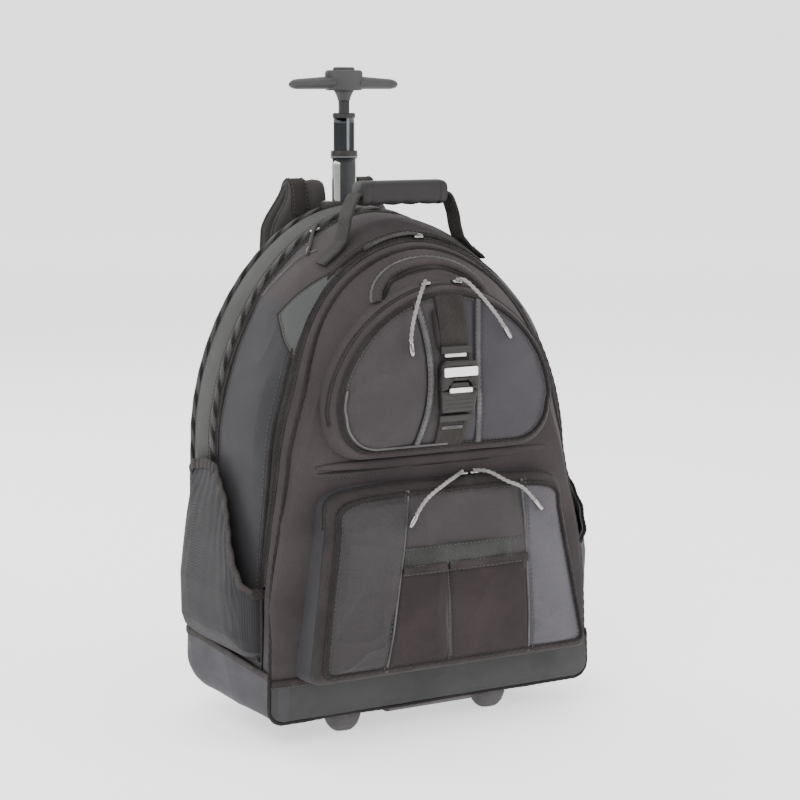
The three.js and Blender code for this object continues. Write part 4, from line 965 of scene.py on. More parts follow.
UPPER = Pocket(arch(0.120, 0.122, 0.268, 0.312, 0.114, ARCH_POWER, 0.036, 440), 0.120, 0.268, 0.426,
               low("upper_pocket")[1] + 0.015, 0.008, 0.015)
LOWER = Pocket(arch(0.150, 0.128, 0.067, 0.213, 0.030, 5, 0.008, 440), 0.150, 0.067, 0.243,
               FRONT - 0.029, 0.009, 0.006, 0.016)
UPPER_ZIP = (low("upper_zip")[1] + high("upper_zip")[1]) / 2
LOWER_ZIP = (low("lower_zip")[1] + high("lower_zip")[1]) / 2


def pocket_wall(name, pocket, zip_y, finish, lip_finish):
    """The pocket's side walls: the band behind its zip, puffed out a little, and the lip in front of it."""
    behind = pocket.rings(np.linspace(pocket.root, zip_y - ZIP_HALF, 28))
    before = pocket.rings(np.linspace(zip_y - ZIP_HALF, pocket.rim, 14))
    behind = puffed(behind, 0.0016, 1)
    wall = grid(name + "_band", behind, [finish], around=True, inner=pocket.middle, wall=0.0015)
    lip = grid(name + "_lip", before, [lip_finish], around=True, inner=pocket.middle, wall=0.0015)
    return wall, lip


def zip_around(name, pocket, zip_y, end):
    """The pocket's zip: tape and teeth along its ring, above the height where it ends."""
    ring = pocket.rings(np.array([zip_y]))[:, 0]
    inside = pocket.rings(np.array([zip_y]))[:, 0].mean(0)
    start = int(np.argmin(ring[:, 2]))
    ring = np.roll(ring, -start, axis=0)
    ring = ring[ring[:, 2] > end]
    if ring[0, 0] * ring[-1, 0] > 0:
        ring = ring[np.argsort(np.arctan2(ring[:, 2] - inside[2], ring[:, 0]))]
    ring = resample(ring, 520)
    away = ring - inside
    away[:, 1] = 0
    out = unit(away)
    tape = sweep(name + "_tape", ring, out, oval(ZIP_HALF + 0.0012, 0.0009, 0.6, 12), [BINDING])
    coil = zip_coil(name + "_coil", ring + out * 0.0006, out)
    return join(name, [tape, coil])


def rim_path(pocket, share, lift, count=700):
    """A closed line on the pocket's face at a share of its rim, with the directions out of the face."""
    points = pocket.face(np.array([share]))[:, 0]
    points = resample(points, count, closed=True)
    away = unit(points - pocket.middle)
    out = unit(away * [1, 0, 1] + np.array([0, -1.2, 0]))
    closed = np.vstack([points, points[:1]])
    return closed + np.vstack([out, out[:1]]) * lift, np.vstack([out, out[:1]])


def dome_pocket():
    """The dome: its face swells by 3.5 mm sin(pi t) beside the trims and sinks by 2.2 mm along them."""
    wall, lip = pocket_wall("dome", UPPER, UPPER_ZIP, DARK_CLOTH, DARK_CLOTH)
    share = np.linspace(1, 0, 72)
    face = UPPER.face(share)
    n = grid_normals(face)
    x, z = face[..., 0], face[..., 2]
    slack = 0.0011 * value_noise(face, 0.045, 41) + 0.0016 * creases(face, 0.06, (0.7, 1, 1), 43)
    sunk = -0.0022 * (bump(np.abs(x), trim_x(z), 0.004)) * (share[None] < 0.97)
    swell = 0.0035 * clamp(np.sin(np.pi * clamp((np.abs(x) - trim_x(z)) / 0.075)))
    hold = clamp((1 - share) * 9)[None]
    face = face + n * ((slack + sunk + swell) * hold)[..., None]
    region = np.where(x > 0.022, 1, 0)
    cloth = grid("dome_face", face, [DOME_CLOTH, DOME_SIDE_CLOTH], around=True, region=region,
                 inner=UPPER.middle + [0, 0.05, 0], wall=0.0015)
    path, out = rim_path(UPPER, 1.0, 0.0012)
    piping = rope("dome_piping", path, out, 0.0021, DARK_ROPE, pitch=0.007, depth=0.08)
    path, out = rim_path(UPPER, 0.955, 0.0016)
    row = stitches("dome_stitches", path, out)
    body_piece(cloth, wall, lip, piping, row, slot="cloth_grey", nodes=["upper_pocket"])
    body_piece(zip_around("dome_zip", UPPER, UPPER_ZIP, 0.301), nodes=["upper_zip"])
    # A light cord along the left lower stretch of the dark piping: a painted highlight where the rim faces the
    # light.
    left = (path[:, 0] < 0) & (path[:, 2] < 0.335) & (path[:, 2] > 0.272)
    light = path[left]
    light = light[np.argsort(light[:, 2])]
    edge = cord("dome_painted_highlight_edge", resample(light, 60) + [0, -0.0012, 0], [0, -1, 0], 0.0011, LIGHT_BINDING, 8)
    body_piece(edge, slot="cloth_light")


def trim_x(z):
    """How far the trims stand from the middle: nearest at the buckle, wider above and below."""
    return 0.0255 + 0.0105 * np.abs((z - 0.345) / 0.075) ** 1.8


def dome_trims():
    """Two light tapes beside the strap, in the shape of an hourglass."""
    for hand, name in ((-1, "left"), (1, "right")):
        z = np.linspace(0.276, 0.412, 120)
        centre = hand * trim_x(z)
        across = np.linspace(-0.0032, 0.0032, 9)
        x = centre[:, None] + across[None]
        lift = 0.0012 + 0.0012 * np.sqrt(np.maximum(1 - (across / 0.0034) ** 2, 0))
        points, _ = UPPER.on_face(x, z[:, None], lift[None])
        tape = grid("dome_trim_" + name, points, [LIGHT_BINDING], inner=UPPER.middle + [0, 0.05, 0], wall=0.0008)
        ups = UPPER.on_face(centre, z)[1]
        rows = []
        for side in (-1, 1):
            line = UPPER.on_face(centre + side * 0.0024, z, 0.0023)[0]
            rows.append(stitches(f"dome_trim_stitches_{name}_{side}", line, ups,
                                 size=(0.0022, 0.0006, 0.0005)))
        body_piece(tape, *rows, slot="cloth_light")


def lower_edge_left(z):
    """The slanting left edge of the lower pocket's middle panel."""
    return mix(-0.078, -0.060, (z - 0.074) / 0.092)


def lower_edge_right(z):
    """Its upright right edge."""
    return 0.079 + 0 * z


def lower_pocket():
    """The boxy pocket: its outer panels swell by 3.8 mm sin(pi t)^0.7, and its seams sink by 2 mm."""
    wall, lip = pocket_wall("lower", LOWER, LOWER_ZIP, SIDE_CLOTH, BINDING)
    share = np.linspace(1, 0, 81)
    face = LOWER.face(share)
    n = grid_normals(face)
    x, z = face[..., 0], face[..., 2]
    left, right = lower_edge_left(z), lower_edge_right(z)
    panel = np.where(x < left, (left - x) / 0.06, np.where(x > right, (x - right) / 0.05, 0.5))
    slack = 0.0011 * value_noise(face, 0.05, 51) + 0.002 * creases(face, 0.055, (1, 1, 0.7), 53)
    slack = slack + 0.0030 * creases(face, 0.042, (1, 1, 0.6), 57) * (x < left)
    sunk = -0.002 * (bump(x, left, 0.0028) + bump(x, right, 0.0028))
    swell = 0.0038 * np.sin(np.pi * clamp(panel)) ** 0.7 * ((x < left) | (x > right))
    hold = clamp((1 - share) * 12)[None]
    face = face + n * ((slack + sunk + swell) * hold)[..., None]
    region = np.where(x < left, 1, np.where(x > right, 2, 0))
    # The triangle low on the left panel takes the darker ripstop: painted shade.
    slant = (x < left) & (z - 0.079 < (x + 0.150) * 1.5) & (x > -0.142) & (z < 0.15)
    region = np.where(slant, 3, region)
    cloth = grid("lower_face", face, [DOME_CLOTH, RIPSTOP, LIGHT_RIPSTOP, RIPSTOP_IN_PAINTED_SHADE], around=True, region=region,
                 inner=LOWER.middle + [0, 0.05, 0], wall=0.0015)
    path, out = rim_path(LOWER, 1.0, 0.001)
    piping = rope("lower_piping", path, out, 0.0022, DARK_ROPE, pitch=0.008, depth=0.08)
    path, out = rim_path(LOWER, 0.97, 0.0014)
    row = stitches("lower_stitches", path, out)
    body_piece(cloth, wall, lip, piping, row, slot="cloth_light", nodes=["lower_pocket"])
    body_piece(zip_around("lower_pocket_zip", LOWER, LOWER_ZIP, 0.206), nodes=["lower_zip"])
    z = np.linspace(0.073, 0.238, 200)
    for name, x_of in (("left", lower_edge_left(z)), ("right", lower_edge_right(z))):
        points, ups = LOWER.on_face(x_of, z, 0.0011)
        seam = cord("lower_seam_" + name, points, ups, 0.0011, LIGHT_BINDING, 8)
        side = -0.0035 if name == "left" else 0.0035
        row = stitches("lower_seam_stitches_" + name, LOWER.on_face(x_of + side, z, 0.0026)[0], ups)
        body_piece(seam, row, slot="cloth_light")


def face_panel(name, surface, left, right, foot, top, lift, finish, steps=(70, 60), puff=0.001, folds=0):
    """A panel sewn on a front surface between left(z) and right(z), foot and top, and puffed at its middle."""
    z = np.linspace(foot, top, steps[0])[:, None] + np.zeros((1, steps[1]))
    s = np.linspace(0, 1, steps[1])[None, :]
    x = mix(left(z), right(z), s)
    t = (z - foot) / (top - foot)
    rim = np.minimum.reduce([s + 0 * t, 1 - s + 0 * t, t, 1 - t])
    raised = lift * smooth(rim * 14) + puff * smooth(rim * 3)
    points, n = surface(x, z, 0.0004 + raised)
    points = points + n * (0.0007 * creases(points, 0.04, (1, 1, 0.6), folds) * smooth(rim * 6))[..., None]
    return grid(name, points, [finish], inner=UPPER.middle + [0, 0.06, -0.1], wall=0.001)


def slip_pockets():
    """Two flat open pockets with bound tops, and the ribbed band above them."""
    foot, top = 0.0745, 0.166
    seam = -0.011
    for name, left, right in (("left", lower_edge_left, lambda z: seam - 0.0006 + 0 * z),
                              ("right", lambda z: seam + 0.0006 + 0 * z, lower_edge_right)):
        panel = face_panel("slip_pocket_cloth_" + name, LOWER.on_face, left, right, foot, top, 0.0021, SLIP_CLOTH,
                           puff=0.0022, folds=61)
        x = np.linspace(left(np.array(top)) + 0.001, right(np.array(top)) - 0.001, 60)
        path, ups = LOWER.on_face(x, top - 0.0015, 0.0036 + 0.0006 * np.sin(x * 190))
        hem = sweep("slip_hem_" + name, path, ups, oval(0.0042, 0.0009, 0.6, 16), [BINDING])
        row = stitches("slip_stitches_" + name, path + ups * 0.0008 - [0, 0, 0.0030], ups)
        body_piece(panel, hem, row, slot="mesh_cloth", nodes=["slip_pocket_" + name])
    z = np.linspace(foot, top, 90)
    path, ups = LOWER.on_face(seam, z, 0.0018)
    body_piece(stitches("slip_middle_stitches", path, ups, pitch=0.0032), slot="mesh_cloth")
    band = face_panel("band_tape", LOWER.on_face, lower_edge_left, lower_edge_right, top + 0.0003, top + 0.0203,
                      0.002, GREY_WEBBING, steps=(24, 120), puff=0.0006, folds=63)
    rows = []
    for height in (top + 0.0025, top + 0.0182):
        x = np.linspace(-0.056, 0.077, 80)
        path, ups = LOWER.on_face(x, height, 0.0032)
        rows.append(stitches("band_stitches", path, ups))
    body_piece(band, *rows, slot="webbing", nodes=["webbing_band"])


def dome_shadow_seam():
    """The folded welt under the dome, a dark cord under it as painted shade, and the seam over the lower pocket."""
    x = np.linspace(-0.128, 0.128, 200)
    foot = 0.2615
    path, ups = lifted(front_face, x, foot, 0.001)
    fade = np.sqrt(np.maximum(1 - np.linspace(-1, 1, 200) ** 4, 0.01))
    welt = sweep("dome_foot_welt", path, ups, oval(0.0046, 0.0030, 0.8, 16), [DARK_CLOTH], scale=fade)
    # A dark cord under the welt: painted shade in the groove below it.
    path, ups = lifted(front_face, x * 0.99, foot - 0.0052, 0.0004)
    groove = sweep("dome_foot_shade_line", path, ups, circle(0.0013, 10), [DARK_ROPE], scale=fade)
    path, ups = lifted(front_face, x * 1.02, foot - 0.0105, 0.0008)
    row = stitches("dome_foot_stitches", path, ups)
    body_piece(welt, groove, row)


def stash_hood():
    """The raised arch above the dome: a padded roll, its light piping, a coil under it and dark cloth inside."""
    def arc(half, rise, count=160, start=0.04):
        a = np.linspace(np.pi * (1 - start), np.pi * start, count)
        return half * np.cos(a), 0.404 + rise * np.sin(a)

    x, z = arc(0.060, 0.039)
    path, ups = lifted(front_face, x, z, 0.0022)
    roll = sweep("stash_roll", path, ups, oval(0.0044, 0.0036, 0.75, 20), [DARK_CLOTH])
    x, z = arc(0.0645, 0.0435)
    path, ups = lifted(front_face, x, z, 0.0016)
    light = rope("stash_light_piping", path, ups, 0.0018, LIGHT_BINDING, pitch=0.006)
    x, z = arc(0.0545, 0.0335)
    path, ups = lifted(front_face, x, z, 0.0012)
    tape = sweep("stash_zip_tape", path, ups, oval(0.0032, 0.0008, 0.6, 12), [BINDING])
    coil = cord("stash_coil", path + ups * 0.0008, ups, 0.0014, DARK_ROPE, 8)
    s = np.linspace(0.02, 0.98, 50)
    a = np.linspace(np.pi * 0.97, np.pi * 0.03, 90)[:, None]
    x = 0.050 * np.cos(a) * (0 * s[None] + 1)
    z = 0.404 + 0.030 * np.sin(a) * s[None]
    points, _ = lifted(front_face, x, z, 0.0012 + 0.0022 * np.sin(np.pi * s[None]) * np.sin(a))
    cloth = grid("stash_cloth", points, [DARK_CLOTH], inner=INSIDE, wall=0.0008)
    body_piece(roll, light, tape, coil, cloth, slot="cloth_light", nodes=["stash_rim"])


# Strap and buckle

STRAP_SPLIT = 0.3307


def face_strap(name, z_from, z_to, node, wave):
    """Webbing down the dome: x across its width, z along it, lifted in a slow wave, thicker at its woven edges."""
    z = np.linspace(z_from, z_to, 130)[:, None]
    s = np.linspace(-1, 1, 17)[None, :]
    x = 0.0148 * s + 0 * z
    lift = 0.0022 + wave * np.sin((z - z_from) / (z_to - z_from) * np.pi) + 0.0004 * (np.abs(s) > 0.85)
    points, _ = UPPER.on_face(x, z, lift)
    strap = grid(name, points, [BLACK_WEBBING], inner=UPPER.middle + [0, 0.06, 0], wall=0.0018)
    body_piece(strap, slot="webbing", nodes=[node])


def tablet(name, outline, surface, base, height, edge, finish, cap=8, detail=None, middle=None):
    """A rounded plate on a surface: the outline (x, z) rises by height to a flat top, with a quarter-round edge."""
    p = resample(np.asarray(outline, float), 160, closed=True)
    ahead = np.roll(p, -1, 0) - np.roll(p, 1, 0)
    inward = unit(np.stack([-ahead[:, 1], ahead[:, 0]], 1))
    centre = p.mean(0) if middle is None else np.asarray(middle)
    if ((centre - p) * inward).sum() < 0:
        inward = -inward
    a = np.linspace(0, np.pi / 2, 7)
    ring, rise = [p], [0.0]
    for angle in a:
        ring.append(p + inward * edge * (1 - np.cos(angle)))
        rise.append(height - edge + edge * np.sin(angle))
    top = ring[-1]
    for share in np.linspace(1, 0, cap + 1)[1:]:
        ring.append(centre + (top - centre) * share)
        rise.append(height)
    ring, rise = np.stack(ring, 1), np.array(rise)
    lift = base + rise[None] + np.zeros(ring.shape[:2])
    if detail is not None:
        lift = lift + detail(ring[..., 0], ring[..., 1]) * (rise[None] >= height - 1e-9)
    points, _ = surface(ring[..., 0], ring[..., 1], lift)
    back = surface(centre[0], centre[1], base)[0]
    points = np.concatenate([np.broadcast_to(back, points[:, :1].shape), points], 1)
    return weld(grid(name, points, [finish], around=True), recalc=True)


def outline_of(points, corner=0.0015):
    """A polygon with its corners rounded: each is cut back by the corner and bridged by a quadratic curve."""
    p = np.asarray(points, float)
    before, after = np.roll(p, 1, 0), np.roll(p, -1, 0)
    reach = lambda q: np.minimum(corner / np.maximum(np.linalg.norm(q - p, axis=1), 1e-9), 0.45)[:, None]
    a, b = p + (before - p) * reach(before), p + (after - p) * reach(after)
    t = np.linspace(0, 1, 6)[None, :, None]
    return ((1 - t) ** 2 * a[:, None] + 2 * t * (1 - t) * p[:, None] + t * t * b[:, None]).reshape(-1, 2)


def flat_dome(x, z, lift=0.0):
    """The dome's face made flat across the buckle, at the depth of its middle line."""
    depth = lambda u, v: UPPER.depth(0 * u, v)
    return lifted(depth, x, z, lift)


def mirror_outline(right):
    """The right half of an outline, and its mirror image in reverse order."""
    right = np.asarray(right, float)
    return np.concatenate([right, right[::-1] * [-1, 1]])


def buckle():
    """Two rounded plates with ribs of square cosine waves, the plug's arms, the bars and the keepers."""
    base = 0.0032
    socket = mirror_outline([
        (0.0115, 0.3390), (0.0130, 0.3318), (0.0200, 0.3318), (0.0200, 0.3520), (0.0160, 0.3570)])
    grips = lambda x, z: (-0.0011 * ((np.abs(x) < 0.0125) & (np.abs(z - 0.3472) < 0.0052))
                          + 0.0004 * (np.cos((z - 0.334) * 2100) > 0.2) * (np.abs(x) > 0.0155))
    shell = tablet("buckle_socket_shell", outline_of(socket), flat_dome, base, 0.0084, 0.0022, PLASTIC, 16, grips,
                   (0, 0.346))
    plug = mirror_outline([
        (0.0100, 0.3380), (0.0115, 0.3307), (0.0200, 0.3307), (0.0190, 0.3250), (0.0175, 0.3112)])
    ridge = lambda x, z: 0.0006 * (np.cos((z - 0.311) * 1700) > 0.3) * (np.abs(x) < 0.0150) * (z < 0.325)
    body = tablet("buckle_plug_body", outline_of(plug), flat_dome, base, 0.0072, 0.0020, PLASTIC, 16, ridge,
                  (0, 0.324))
    arm = np.array([(0.0135, 0.3305), (0.0198, 0.3305), (0.0204, 0.341), (0.0190, 0.346), (0.0150, 0.346),
                    (0.0140, 0.339)])
    arms = [tablet(f"buckle_arm_{i}", outline_of(arm * [side, 1]), flat_dome, base + 0.0008, 0.0052, 0.0014,
                   PLASTIC, 6) for i, side in enumerate((-1, 1))]
    body_piece(shell, slot="plastic", nodes=["buckle_socket"])
    body_piece(body, *arms, slot="plastic", nodes=["buckle_plug"])
    bars = []
    for i, (z, half, thick, finish) in enumerate((
            (0.3621, 0.0115, 0.0019, WHITE_BAR), (0.3472, 0.0180, 0.0040, PLATE),
            (0.3312, 0.0122, 0.0020, WHITE_BAR), (0.2950, 0.0115, 0.0016, LIGHT_BINDING))):
        corner = outline_of([(-half, z - thick), (half, z - thick), (half, z + thick), (-half, z + thick)], 0.0015)
        rise = 0.0022 if i == 3 else (0.0024 if i == 0 else base + 0.0080)
        bars.append(tablet(f"strap_bar_{i}", corner, flat_dome, rise, 0.0016, 0.0006, finish, 4))
    body_piece(*bars, slot="plastic")
    loops = []
    for i, z in enumerate((0.3668, 0.3045)):
        x = np.linspace(-0.0165, 0.0165, 40)
        path, ups = flat_dome(x, z, 0.0048)
        loops.append(sweep(f"strap_keeper_{i}", path, ups, oval(0.0035, 0.0013, 0.6, 16), [PLASTIC]))
    body_piece(*loops, slot="plastic")
    # A dark roll left of the strap's top: painted shade beside the strap.
    z = np.linspace(0.404, 0.368, 40)
    path, ups = flat_dome(np.interp(z, [0.368, 0.404], [-0.0170, -0.0188]), z, 0.0022)
    shadow = sweep("strap_side_painted_shade", path, ups, oval(0.0026, 0.0020, 0.7, 14), [DARK_ROPE],
                   scale=np.sqrt(np.maximum(1 - np.linspace(-1, 1, 40) ** 4, 0.02)))
    body_piece(shadow, slot="webbing")


# Base


def tray_top(y):
    """The tray's upper edge at the sides: high at the back, lower towards the front corner."""
    at = [FRONT, FRONT + 0.035, FRONT + 0.075, BACK - 0.05]
    return np.interp(y, at, [TRAY_FRONT + 0.006, 0.0715, 0.0745, TRAY_SIDE])


def base_tray():
    """Coated panels round the foot: one wraps the sides and bottom, one the front, with bound edges."""
    y = np.linspace(FRONT - TRAY * 0.4, BACK, 86)
    z_table = np.linspace(FOOT + 0.0004, 0.130, 400)
    lift = round_over(np.maximum(BACK - y, 0), HEEL)[:, None] * clamp(1 - (z_table - FOOT) / HEEL_REACH)[None] ** 2
    start = np.array([np.interp(top, z_table + row, z_table) for top, row in zip(tray_top(y), lift)])
    over = over_at_height(np.maximum(start, FOOT + BODY_CORNER + 0.0005))
    end = OVER.max()
    s = np.linspace(0, 1, 98)[:, None]
    right = mix(over[None], end, s)
    spread, _ = on_body(right, y[None] + 0 * right)
    other = spread * [-1, 1, 1]
    every = np.concatenate([spread, other[::-1]])
    n = grid_normals(every)
    thick = TRAY + 0.0005 * value_noise(every, 0.05, 71) + 0.0006 * creases(every, 0.07, (1, 1, 1), 73)
    every = every + n * thick[..., None]
    wrap = grid("tray_wrap", every, [BASE_SIDE_CLOTH], inner=np.array([0, 0, 0.06]), wall=0.0018, merge=True)
    x = np.linspace(-1, 1, 160)[None, :]
    z = np.linspace(FOOT - TRAY * 0.3, TRAY_FRONT, 46)[:, None]
    corner = BODY_CORNER - np.sqrt(np.maximum(BODY_CORNER**2 - np.maximum(FOOT + BODY_CORNER - z, 0) ** 2, 0))
    half = np.interp(z, [FOOT, SPRING], [BODY_HALF, SPRING_HALF]) - corner + TRAY * 0.6
    across = x * half
    deep = front_face(across * 0.985, np.maximum(z, FOOT + 0.004) + 0 * across)
    front = np.stack([across, deep - TRAY, z + 0 * across], -1)
    wave = 0.0006 * value_noise(front, 0.04, 75) + 0.0009 * creases(front, 0.05, (1, 1, 1), 77)
    front[..., 1] -= wave + 0.001 * np.sin(np.pi * (z - FOOT) / (TRAY_FRONT - FOOT))
    # A light strip down the front panel's left end: a painted highlight on the corner piping.
    painted_highlight_strip = ((across > -0.170) & (across < -0.160)).astype(int)
    panel = grid("tray_front", front, [BASE_CLOTH, BASE_SIDE_CLOTH], region=painted_highlight_strip,
                 inner=np.array([0, 0, 0.05]), wall=0.0018)
    edge = every[:, 0]
    ups = unit(edge * [1, 0, 1] - np.array([0, 0, 0.1]) + np.array([0, -0.1, 0]))
    corner_edge = rope("tray_corner_piping", edge, ups, 0.0017, DARK_ROPE, pitch=0.008, depth=0.06)
    binding = oval(0.0034, 0.0014, 0.7, 14)
    front_edge = sweep("tray_front_binding", resample(front[-1], 200), [0, -1, 0], binding, [BINDING])
    pieces = [corner_edge, front_edge]
    for i, row in enumerate((every[0], every[-1])):
        sideways = unit(np.array([row[0, 0], 0, 0]))
        pieces.append(sweep(f"tray_side_binding_{i}", resample(row, 200), sideways, binding, [BINDING]))
    below = front[-5] + [0, -0.0004, 0]
    pieces.append(stitches("tray_front_stitches", below, np.array([0.0, -1, 0])))
    body_piece(wrap, panel, *pieces, slot="coated_cloth", nodes=["base_tray"])


# Side pockets

SIDE_BACK = BACK - 0.030
SIDE_FRONT = BACK - 0.172
SIDE_PEAK = BACK - 0.096


def mouth_height(y):
    """The mouth of a side pocket: level behind its peak, then a curve that falls to the front edge."""
    span = SIDE_PEAK - SIDE_FRONT
    at = [SIDE_FRONT, SIDE_PEAK - span * 0.6, SIDE_PEAK - span * 0.3, SIDE_PEAK, mix(SIDE_BACK, SIDE_PEAK, 0.6),
          SIDE_BACK - 0.010, SIDE_BACK]
    height = [0.152, mix(0.256, 0.152, 0.55), mix(0.256, 0.152, 0.22), 0.260, 0.261, 0.256, 0.242]
    return np.interp(y, at, height) - 0.0045


def side_pocket(hand, name, finish):
    """Gathered mesh: x = 0.1713 + 0.0275 bulge(z) edge(distance from the seam), with folds and gathers."""
    s = np.linspace(0, 1, 130)[:, None]
    t = np.linspace(0, 1, 106)[None, :]
    y = mix(SIDE_BACK, SIDE_FRONT, s) + 0 * t
    foot = 0.0795 + 0.010 * (np.abs(2 * s - 1) ** 6)
    raised = 0.018 * bump(y, SIDE_FRONT + 0.030, 0.035) if hand > 0 else 0.0
    z = mix(foot, mouth_height(y) + raised, t)
    share = (z - 0.082) / 0.174
    bulge = np.interp(share, [0, 0.12, 0.35, 0.6, 0.85, 1.1], [0.62, 0.96, 1, 0.75, 0.42, 0.3])
    near = np.minimum.reduce([(y - SIDE_FRONT) + 0 * z, (SIDE_BACK - y) + 0 * z, (z - foot)])
    edge = np.interp(near, [0, 0.001, 0.006, 0.017, 0.03], [-0.10, 0.42, 0.8, 0.95, 1])
    top = mouth_height(y) - z
    fan = (y - SIDE_PEAK) / (0.05 + 0.9 * np.maximum(top, 0)) * 0.05
    gathers = 0.0005 * np.sin(fan * 620 + 2.2 * value_noise(np.stack([y * 0, y, z], -1), 0.03, 81))
    gathers = gathers * np.exp(-top / 0.045) * smooth(near / 0.012)
    place = np.stack([0 * y + hand * 0.18, y, z], -1)
    folds = 0.0070 * creases(place, 0.088, (1, 0.8, 0.5), 83 + (hand > 0) * 7)
    folds = folds + 0.0032 * value_noise(place, 0.05, 85)
    folds = folds * smooth(near / 0.02)
    spread = 0.0 if hand < 0 else 0.019 * bump(y, -0.020, 0.020) * smooth(near / 0.010) * smooth((0.215 - z) / 0.05)
    x = 0.1713 + 0.0275 * bulge * edge + gathers + folds + spread
    points = np.stack([hand * x, y, z], -1)
    cloth = grid("side_pocket_cloth_" + name, points, [finish], inner=np.array([0, 0, 0.17]), wall=0.0014)
    mouth = points[:, -1]
    out = unit(np.stack([np.full(len(mouth), hand), np.zeros(len(mouth)), np.full(len(mouth), 0.15)], 1))
    line = resample(mouth, 340)
    run = np.linspace(0, length_of(line), 340)[:, None, None]
    section = oval(0.0047, 0.0013, 0.7, 18)[None] * (1 + 0.05 * np.sin(run * 2 * np.pi / 0.0045))
    band = sweep("side_hem_" + name, line + out[0] * 0.0012 - [0, 0, 0.0035], out[0], section, [BINDING])
    body_piece(cloth, slot="mesh_cloth", nodes=["side_pocket_" + name])
    body_piece(band, slot="webbing", nodes=["hem_" + name])
    border = np.concatenate([points[0, ::-1], points[1:, 0], points[-1, 1:]])
    line = resample(border, 500)
    line[:, 0] = hand * 0.1742
    seam = cord("side_pocket_seam_" + name, line, [hand, 0, 0], 0.0017, BINDING, 8)
    body_piece(seam)


# Carry handle

GRIP_Y = (low("carry_handle")[1] + high("carry_handle")[1]) / 2
GRIP_TOP = high("carry_handle")[2]


def carry_handle():
    """A moulded grip, round at its ends with finger waves below, and two ribbed legs that spread onto the body."""
    s = np.linspace(-1, 1, 120)
    end = np.sqrt(np.maximum(1 - clamp((np.abs(s) - 0.86) / 0.14) ** 2, 0.0))
    a = (np.arange(40) + 0.5) / 40 * 2 * np.pi
    c, q = np.cos(a), np.sin(a)
    wave = 1 - 0.10 * (q < 0) * (0.5 + 0.5 * np.cos(s[:, None] * 15)) * (np.abs(s[:, None]) < 0.8)
    wide = 0.0127 * (0.86 + 0.14 * end)[:, None] * np.sign(c) * np.abs(c) ** 0.6
    tall = 0.0118 * (0.72 + 0.28 * end)[:, None] * np.sign(q) * np.abs(q) ** 0.6 * wave
    groove = 1 - 0.05 * (np.abs(np.abs(s[:, None]) - 0.80) < 0.012)
    x = 0.0470 * s[:, None] + 0 * wide
    points = np.stack([x, GRIP_Y + wide * groove, GRIP_TOP - 0.0120 + tall * groove], -1)
    points[0] = points[0].mean(0)
    points[-1] = points[-1].mean(0)
    grip = weld(grid("carry_grip", np.concatenate([points, points[:, :1]], 1), [HANDLE_RUBBER]), recalc=True)
    legs = []
    for hand, name in ((-1, "left"), (1, "right")):
        path = spline([(0.036, 0.5075), (0.050, 0.5060), (0.0585, 0.4890), (0.0615, 0.4750), (0.0650, 0.4640)], 60)
        path = np.stack([hand * path[:, 0], np.full(60, GRIP_Y), path[:, 1]], 1)
        foot = np.linspace(0.078, 0.098, 30)
        landing, _ = on_body(hand * foot, GRIP_Y, 0.0022)
        line = resample(np.concatenate([path, landing]), 110)
        out = np.cross(tangents(line), np.array([0.0, 1, 0])) * hand
        legs.append(sweep("carry_leg_" + name, line, out, oval(0.0118, 0.0015, 0.5, 20), [BLACK_WEBBING]))
        box = landing[8:26]
        legs.append(stitches("carry_leg_stitches_" + name, box + [0, 0.009, 0.0016], [hand, 0, 1.0]))
        legs.append(stitches("carry_leg_stitches_b_" + name, box + [0, -0.009, 0.0016], [hand, 0, 1.0]))
    body_piece(grip, *legs, slot="rubber", nodes=["carry_handle"])


# Back


def back_pad():
    """The cushion on the back: raised to 9 mm, rounded at its edge, with sewn channels across and down it."""
    shape = arch(0.118, 0.118, 0.112, 0.3736, 0.0544, 2.6, 0.034, 340)
    centre = shape.mean(0)
    share = np.concatenate([[1.0, 1.0], np.linspace(1, 0, 110)[1:]])
    xz = centre + (shape[:, None] - centre) * share[None, :, None]
    x, z = xz[..., 0], xz[..., 1]
    inward = (1 - share)[None] * np.linalg.norm(shape - centre, axis=1)[:, None]
    height = 0.0086 * np.sqrt(clamp(1 - (1 - clamp(inward / 0.012)) ** 2))
    channel = bump(x, 0, 0.0075)
    for level in (0.180, 0.245, 0.310, 0.370):
        channel = np.maximum(channel, bump(z - 0.0009 * (x / 0.02) ** 2, level, 0.0045))
    height = height * (1 - 0.62 * channel) + 0.0006 * value_noise(np.stack([x, 0 * x, z], -1), 0.03, 91)
    height[:, 0] = 0
    points = np.stack([x, BACK + FIT + np.maximum(height, 0), z], -1)
    pad = grid("back_pad_cover", points, [PAD_MESH], around=True, inner=INSIDE)
    ring = np.vstack([shape, shape[:1]])
    line = np.stack([ring[:, 0], np.full(len(ring), BACK + 0.002), ring[:, 1]], 1)
    piping = rope("back_pad_piping", line, [0, 1, 0], 0.0022, DARK_ROPE, pitch=0.008)
    body_piece(pad, piping, slot="mesh_cloth", nodes=["back_pad"])


HARNESS_TOP = high("harness_left")[2]


